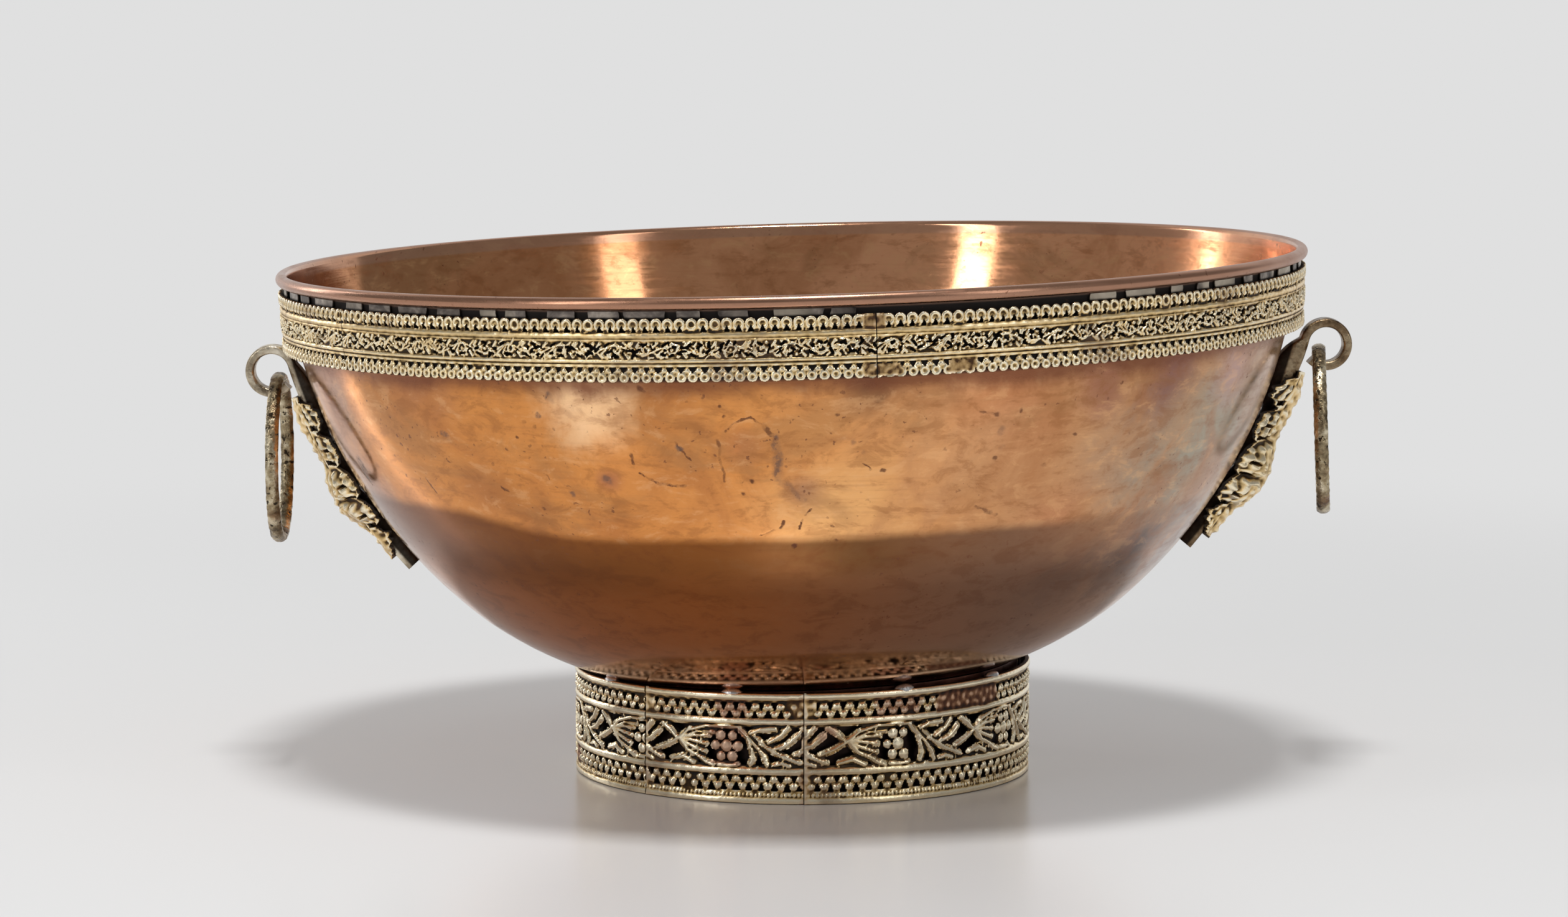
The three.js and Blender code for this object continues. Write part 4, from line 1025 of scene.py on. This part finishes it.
def foot_panel(length, first_cluster, seed):
    strip = Chasing(length, FOOT_TOP, 0.47, seed)
    scroll = [([(u, SCROLL_MIDDLE + v) for u, v in path], radii) for path, radii in SCROLL]
    for path, radii in scroll:
        wide = (radii[0] + 0.75, radii[1] + 0.75)
        strip.stroke(SCROLL_REPEAT, first_cluster, path, wide, BACKING, BACKING, 0)
    strip.rail(12.4, 14.0, BACKING)
    strip.rail(28.0, 29.0, BACKING)
    for path, radii in scroll:
        strip.stroke(SCROLL_REPEAT, first_cluster, path, radii, 0.8, 1.6, 0)
    strip.beads(SCROLL_REPEAT, first_cluster, SCROLL_MIDDLE, 2.2, 0.7, 1.9, 0, 0.15)
    for turn in np.radians(np.arange(0, 360, 60)):
        at = first_cluster + CLUSTER_RADIUS * math.cos(turn)
        up = SCROLL_MIDDLE + CLUSTER_RADIUS * math.sin(turn)
        strip.beads(SCROLL_REPEAT, at, up, 1.9, 0.7, 1.8, 0.1)
    strip.rail(0.0, 2.5, 0.9, (1.3, 1.2, 1.5))
    strip.rail(2.3, 4.3, 0.8)
    strip.beads(1.55, 0, 3.2, 0.8, 0.7, 1.35, 0.06)
    strip.rail(4.1, 10.9, 0.7)
    strip.rail(10.7, 13.2, 0.9, (11.95, 1.25, 1.7))
    strip.rail(28.6, 31.2, 0.85, (29.9, 1.2, 1.6))
    strip.rail(31.0, 37.8, 0.7)
    strip.rail(37.6, FOOT_TOP, 0.95, (39.1, 1.3, 1.8))
    half = LATTICE / 2
    for low, way in ((4.1, 1), (37.6, -1)):
        strip.beads(LATTICE, 0, low + way * 5.0, 1.2, 0.8, 1.75)
        strip.beads(LATTICE, half, low + way * 2.3, 1.2, 0.8, 1.75)
        strip.holes(LATTICE, 0, low + way * 0.6, low + way * 3.6, 1.45, missing=0.05)
        strip.holes(LATTICE, half, low + way * 6.4, low + way * 3.7, 1.4, missing=0.05)
    strip.flecks(length * 2, 13.4, 28.4, (0.8, 2.6), (0.25, 0.45), 0.7, 1.4)
    strip.face += 0.05 * strip.ripples(2.5) + 0.05 * strip.ripples(9.0)
    return strip


for number in range(3):
    from_deg, to_deg = FOOT_SEAMS_DEG[number], FOOT_SEAMS_DEG[number + 1]
    span = span_between(from_deg, to_deg, FOOT_INSIDE)
    length = (span[1] - span[0]) * FOOT_OUTSIDE
    cluster = math.radians((CLUSTER_DEG[number] - from_deg) % CLUSTER_PITCH_DEG) * FOOT_OUTSIDE

    def on_foot(u, v, face):
        return slanted(bent_round(span, length, u, FOOT_INSIDE + face, v), FOOT_SLANT_DEG)

    strip = foot_panel(length, cluster, 90 + number)
    for patch in FOOT_WEAR[number]:
        strip.wear(*patch)
    strip.drop_loose(11.0, 13.0)
    panel = chased_piece(f"pierced_panel_{number + 1}", strip, on_foot, FOOT_FRAME)
    panel.data.materials.append(brass)
    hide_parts(f"foot_panel_{number + 1}")
    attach(panel, "bowl")

# Straps: forged copper bars that run up the wall on both sides, each curled at the top into an
# eye. Two pads of solder hold each bar to the wall.
STRAP_WIDTH, STRAP_THICKNESS, STRAP_CORNER = 9.0, 3.2, 0.9
STRAP_FOOT_DEG, STRAP_LIFT_DEG, STRAP_DRAWN_DEG, EYE_DEG = 48.4, 62.0, 71.0, 74.5
STRAP_STANDOFF, EYE_RADIUS, EYE_SWEEP_DEG = 3.2, 8.0, 300.0
EYE_STANDOFF = {"left": 13.0, "right": 16.5}
PAD_DEG = [65.5, 58.5]
SIDE = {"left": -1, "right": 1}


def strap_standoff(hand, polar):
    """Height over the wall of the back of the thin bar, at an angle up from the bottom."""
    at_eye = EYE_STANDOFF[hand] - EYE_RADIUS - STRAP_THICKNESS / 2
    lift, top = math.radians(STRAP_LIFT_DEG), math.radians(EYE_DEG)
    share = np.clip((polar - lift) / (top - lift), 0, 1)
    return STRAP_STANDOFF + (at_eye - STRAP_STANDOFF) * share**2 * (3 - 2 * share)


def rounded_section(half_wide, half_thick, corner):
    """A loop of (across, out) points round a rectangle with rounded corners."""
    loop = []
    for quarter, (x, y) in enumerate([(1, 1), (-1, 1), (-1, -1), (1, -1)]):
        for turn in np.linspace(0, math.pi / 2, 5) + quarter * math.pi / 2:
            across = x * (half_wide - corner) + corner * math.cos(turn)
            loop.append((across, y * (half_thick - corner) + corner * math.sin(turn)))
    return np.array(loop)


def swept_bar(centre, out, section, side):
    """A bar along a path in the X-Z plane, closed at both ends, mirrored to its side."""
    rows, count = len(centre), len(section)
    flat = centre[:, None, :] + out[:, None, :] * section[None, :, 1, None]
    across = np.broadcast_to(section[None, :, 0], (rows, count))
    points = np.stack([flat[..., 0] * side, across, flat[..., 1]], -1).reshape(-1, 3)
    faces = []
    for i in range(rows - 1):
        for j in range(count):
            k = (j + 1) % count
            a, b, c, d = i * count + j, (i + 1) * count + j, (i + 1) * count + k, i * count + k
            faces += [(a, b, c), (a, c, d)]
    last = (rows - 1) * count
    for j in range(1, count - 1):
        faces += [(0, j, j + 1), (last, last + j + 1, last + j)]
    faces = np.array(faces)
    return points, faces if side > 0 else faces[:, ::-1]


forged, start, place = new_finish("forged_strap")
cloud = place.noise(90, 4, 0.65)
rub = place.noise(340, 3, 0.6)
pale = cloud.ramp(
    (0.34, (0.13, 0.085, 0.05)),
    (0.5, (0.52, 0.44, 0.32)),
    (0.66, (0.85, 0.78, 0.64)),
)
brown = cloud.ramp(
    (0.34, (0.05, 0.028, 0.016)),
    (0.5, (0.24, 0.16, 0.09)),
    (0.68, (0.5, 0.4, 0.26)),
)
# The left strap is rubbed paler than the right one, and both are painted near black close to the wall, as
# painted shade on the bars' sides
colour = place.part("X").between(-0.05, 0.05).mix(pale, brown)
off_centre = place.away_from(*swell_centre)
painted_shade_near_wall = off_centre.between(SWELL / 1000 + 0.0052, SWELL / 1000 + 0.0042)
surface(
    forged,
    Base_Color=(painted_shade_near_wall * 0.93).mix(colour, (0.012, 0.008, 0.007)),
    Metallic=0.95,
    Roughness=rub.between(0.35, 0.7, 0.28, 0.5) + painted_shade_near_wall * 0.2,
    Normal=(cloud + rub * 0.4).bump(0.55, 0.0014),
)
for hand, side in SIDE.items():
    low = np.radians(np.linspace(STRAP_FOOT_DEG, EYE_DEG, 40, endpoint=False))
    standoff = strap_standoff(hand, low)
    # The bar is left thick down to a hair off the wall, and drawn out thin only for its eye
    heel = 0.5 + 0.9 * np.clip(1 - np.degrees(low - low[0]) / 5, 0, 1)
    drawn = (np.degrees(low) - STRAP_DRAWN_DEG) / (EYE_DEG - STRAP_DRAWN_DEG)
    drawn = np.clip(drawn, 0, 1) ** 2
    wall_face = np.column_stack(off_wall(low, heel + (standoff - heel) * drawn))
    front_face = np.column_stack(off_wall(low, standoff + STRAP_THICKNESS))
    eye = np.array(off_wall(math.radians(EYE_DEG), EYE_STANDOFF[hand]))
    turns = math.radians(EYE_DEG + 90) - np.radians(np.linspace(0, EYE_SWEEP_DEG, 60))
    spokes = np.column_stack([np.cos(turns), np.sin(turns)])
    wall_face = np.vstack([wall_face, eye + spokes * (EYE_RADIUS + STRAP_THICKNESS / 2)])
    front_face = np.vstack([front_face, eye + spokes * (EYE_RADIUS - STRAP_THICKNESS / 2)])
    out = (front_face - wall_face) / STRAP_THICKNESS
    section = rounded_section(STRAP_WIDTH / 2, STRAP_THICKNESS / 2, STRAP_CORNER)
    points, faces = swept_bar((wall_face + front_face) / 2, out, section, side)
    strap = new_mesh(f"strap_bar_{hand}", placed(points, BOWL_FRAME), faces, 50)
    strap.data.materials.append(forged)
    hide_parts(f"strap_{hand}")
    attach(strap, "bowl")
    for number, middle in enumerate(PAD_DEG):
        polar = math.radians(middle)
        radius, height = off_wall(polar, 1.0)
        points, faces = lumpy_ball((1.5, 6.8, 5.2), 20 + number)
        turn = np.array(Matrix.Rotation(math.pi / 2 - polar, 3, "Y"))
        points = points @ turn.T + (radius, 0, height)
        points[:, 0] *= side
        faces = faces if side > 0 else faces[:, ::-1]
        pad = new_mesh(f"solder_pad_{hand}_{number + 1}", placed(points, BOWL_FRAME), faces, 80)
        pad.data.materials.append(solder)
        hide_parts(f"handle_solder_{hand}_{number + 1}")
        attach(pad, "bowl")

# Leaves: cast brass leaves in front of the straps, lobed and pierced, their backs hollowed so
# that the strap runs behind the spine.
LEAF_TOP_DEG, LEAF_TIP_DEG = 71.0, 50.4
LEAF_LENGTH = math.radians(LEAF_TOP_DEG - LEAF_TIP_DEG) * (SWELL + 8)
LEAF_HALF, LEAF_MARGIN, LEAF_SPINE = 15.0, 0.5, STRAP_WIDTH / 2 + 0.5
LEAF_LOBES, LEAF_TEETH, LEAF_STRANDS, LEAF_FLUTES = 5, 21, 17, 2.4
LEAF_CREST, LEAF_OFF_WALL, LEAF_THINNEST = 14.4, 0.8, 1.1
TIP_LENGTH, TIP_RADIUS = 5, 7.6
# Half width and height of the crest along the leaf, as shares of their largest
LEAF_OUTLINE = [
    *((0, 0.42), (0.14, 0.7), (0.3, 0.74), (0.45, 0.92)),
    *((0.56, 1), (0.7, 0.92), (0.84, 0.66), (1, 0.36)),
]
LEAF_RELIEF = [
    *((0, 0.76), (0.12, 0.84), (0.26, 0.78), (0.4, 0.76), (0.48, 0.9)),
    *((0.6, 1), (0.7, 0.92), (0.78, 0.76), (1, 0.6)),
]
LOBE_PHASES, LOBE_WIDTHS = [0, 0.22, 0.5, 0.78, 1], [0.72, 0.95, 1, 0.93, 0.72]


def curve_through(stops, at):
    """A smooth curve through (position, value) stops, read at the given positions."""
    x, y = np.array(stops).T
    slope = np.gradient(y, x)
    i = np.clip(np.searchsorted(x, at) - 1, 0, len(x) - 2)
    step, climb = x[i + 1] - x[i], y[i + 1] - y[i]
    t = (at - x[i]) / step
    bend = (1 - t) * (slope[i] * step - climb) + t * (climb - slope[i + 1] * step)
    return y[i] + climb * t + t * (1 - t) * bend


def waves(turns):
    return np.cos(2 * math.pi * turns)


def leaf_polar(u):
    """The angle up from the bowl's bottom at a length u from the leaf's top."""
    slope = math.radians(LEAF_TIP_DEG - LEAF_TOP_DEG)
    return math.radians(LEAF_TOP_DEG) + slope * u / LEAF_LENGTH


for hand, side in SIDE.items():
    leaf = Chasing(LEAF_LENGTH, 2 * (LEAF_HALF + LEAF_MARGIN), 0.35, 130 + side)
    along, across = leaf.u / LEAF_LENGTH, np.abs(leaf.v - LEAF_HALF - LEAF_MARGIN)
    full = LEAF_HALF * curve_through(LEAF_OUTLINE, along)
    wing = np.clip((across - LEAF_SPINE) / (full - LEAF_SPINE), 0, 1)
    share = np.clip(along - 0.045 * wing * np.sin(math.pi * along), 0, 1)
    phase = share * LEAF_LOBES % 1
    teeth = waves(share * LEAF_TEETH)
    half = full * np.interp(phase, LOBE_PHASES, LOBE_WIDTHS)
    half = np.maximum(half + 0.35 * teeth, LEAF_SPINE + 0.8)
    tip = TIP_RADIUS - np.hypot((leaf.u - LEAF_LENGTH + TIP_LENGTH) * 1.5, across)
    leaf.metal = np.minimum(half - across, leaf.u + 0.01)
    in_tip = leaf.u > LEAF_LENGTH - TIP_LENGTH
    leaf.metal = np.where(in_tip, np.minimum(leaf.metal, tip), leaf.metal)
    seat = strap_standoff(hand, leaf_polar(leaf.u)) + STRAP_THICKNESS + CLEARANCE
    drop = np.minimum(seat - LEAF_OFF_WALL, (half - LEAF_SPINE) * 1.4)
    leaf.back = seat - drop * wing
    extra = EYE_STANDOFF[hand] - sum(EYE_STANDOFF.values()) / 2
    edge = seat - drop + 1.2
    crest = LEAF_CREST * curve_through(LEAF_RELIEF, along) + extra * 0.7
    crest = np.maximum(crest, seat + 2.0)
    bow = np.cos(math.pi / 2 * np.clip(across / half, 0, 1)) ** 0.8
    # Carving: a roped spine, flutes that run down each wing, deep folds between the lobes, and a
    # toothed lip
    flutes = waves(wing * LEAF_FLUTES + 0.22 * np.sin(2 * math.pi * phase))
    flutes *= np.clip(wing * 4, 0, 1)
    fold = np.exp(-((np.minimum(phase, 1 - phase) / 0.1) ** 2)) * np.clip(across / 6, 0, 1)
    rope = np.exp(-((across / 1.9) ** 2)) * (0.7 + 0.4 * waves(along * LEAF_STRANDS))
    lip = np.exp(-(((half - across) / 1.1) ** 2)) * (0.5 + 0.4 * teeth)
    carving = 0.65 * flutes - 1.3 * fold + 0.8 * rope + 0.5 * lip - 0.5
    carving += 0.3 * leaf.ripples(2.2) + 0.3 * leaf.ripples(5.0)
    leaf.face = np.maximum(edge + (crest - edge) * bow + carving, leaf.back + LEAF_THINNEST)
    # Openings: a slot at the end of each lobe and a small one in the middle of its wing
    lobe_length = LEAF_LENGTH / LEAF_LOBES
    slot = 0.95 - np.abs(phase - 0.88) * lobe_length
    slot = np.minimum(slot, np.minimum(wing - 0.08, 0.62 - wing) * (half - LEAF_SPINE))
    leaf.cut(np.where(along < 0.93, slot, -1.0))
    small = 0.5 - np.abs(phase - 0.5) * lobe_length * 0.7
    small = np.minimum(small, np.minimum(wing - 0.3, 0.7 - wing) * 8)
    leaf.cut(np.where((along > 0.2) & (along < 0.8), small, -1.0))

    def on_leaf(u, v, height):
        polar = leaf_polar(u)
        azimuth = side * (v - LEAF_HALF - LEAF_MARGIN) / (SWELL * np.sin(polar))
        around = (SWELL + height) * np.sin(polar)
        up = CENTRE_HEIGHT - (SWELL + height) * np.cos(polar)
        return np.column_stack([side * around * np.cos(azimuth), -around * np.sin(azimuth), up])

    piece = chased_piece(f"cast_leaf_{hand}", leaf, on_leaf, BOWL_FRAME)
    piece.data.materials.append(brass)
    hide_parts(f"leaf_{hand}")
    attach(piece, "bowl")

# Rings: thick cast brass rings, oval in section, ridged and worn. Each hangs loose in the eye
# of its strap.
RING_OUTER, RING_BAR, RING_BAR_WIDTH = 63.4, 3.6, 5.2
RING_STEPS, BAR_STEPS, BAR_RIDGES = 260, 30, 8
YAW_AND_TILT_DEG = {"left": (0.0, 0.0), "right": (-5.5, 2.3)}
cast, start, place = new_finish("worn_ring_brass")
cloud = place.noise(150, 4, 0.65)
rub = place.noise(420, 3, 0.6)
pits = place.noise(480, 2, 0.5).between(0.6, 0.68)
colour = cloud.ramp(
    (0.32, (0.07, 0.045, 0.024)),
    (0.5, (0.38, 0.3, 0.18)),
    (0.66, (0.8, 0.71, 0.52)),
)
colour = (place.noise(55, 4, 0.6).between(0.5, 0.66) * 0.55).mix(colour, (0.3, 0.16, 0.08))
surface(
    cast,
    Base_Color=(pits * 0.9).mix(colour, (0.02, 0.014, 0.01)),
    Metallic=0.95,
    Roughness=rub.between(0.3, 0.7, 0.24, 0.46) + pits * 0.3,
    Normal=(cloud + rub * 0.5 - pits * 0.6).bump(0.65, 0.0014),
)
for hand, side in SIDE.items():
    chance = np.random.default_rng(200 + side)
    turn, section = np.meshgrid(
        np.linspace(0, 2 * math.pi, RING_STEPS, endpoint=False),
        np.linspace(0, 2 * math.pi, BAR_STEPS, endpoint=False),
        indexing="ij",
    )
    worn = 0
    for _ in range(8):
        wave = turn * chance.integers(5, 60) + section * chance.integers(0, 4)
        worn = worn + np.sin(wave + chance.uniform(0, 6))
    scale = 0.96 + 0.012 * worn - 0.04 * (0.5 + 0.5 * np.cos(section * BAR_RIDGES)) ** 2
    scale = np.minimum(scale, 1.0)
    radius = (RING_OUTER - RING_BAR) / 2 + RING_BAR / 2 * np.cos(section) * scale
    wide = RING_BAR_WIDTH / 2 * np.sin(section) * scale
    points = np.stack([wide, radius * np.sin(turn), radius * np.cos(turn)], -1).reshape(-1, 3)
    yaw, tilt = YAW_AND_TILT_DEG[hand]
    swing = Matrix.Rotation(math.radians(-tilt) * side, 3, "Y")
    swing = swing @ Matrix.Rotation(math.radians(yaw), 3, "Z")
    low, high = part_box(f"ring_{hand}")
    points = points @ np.array(swing).T / 1000 + np.array((low + high) / 2)
    ring = new_mesh(f"loose_ring_{hand}", points, looped_faces(RING_STEPS, BAR_STEPS), 60)
    ring.data.materials.append(cast)
    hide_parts(f"ring_{hand}")
    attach(ring, f"ring_{hand}")
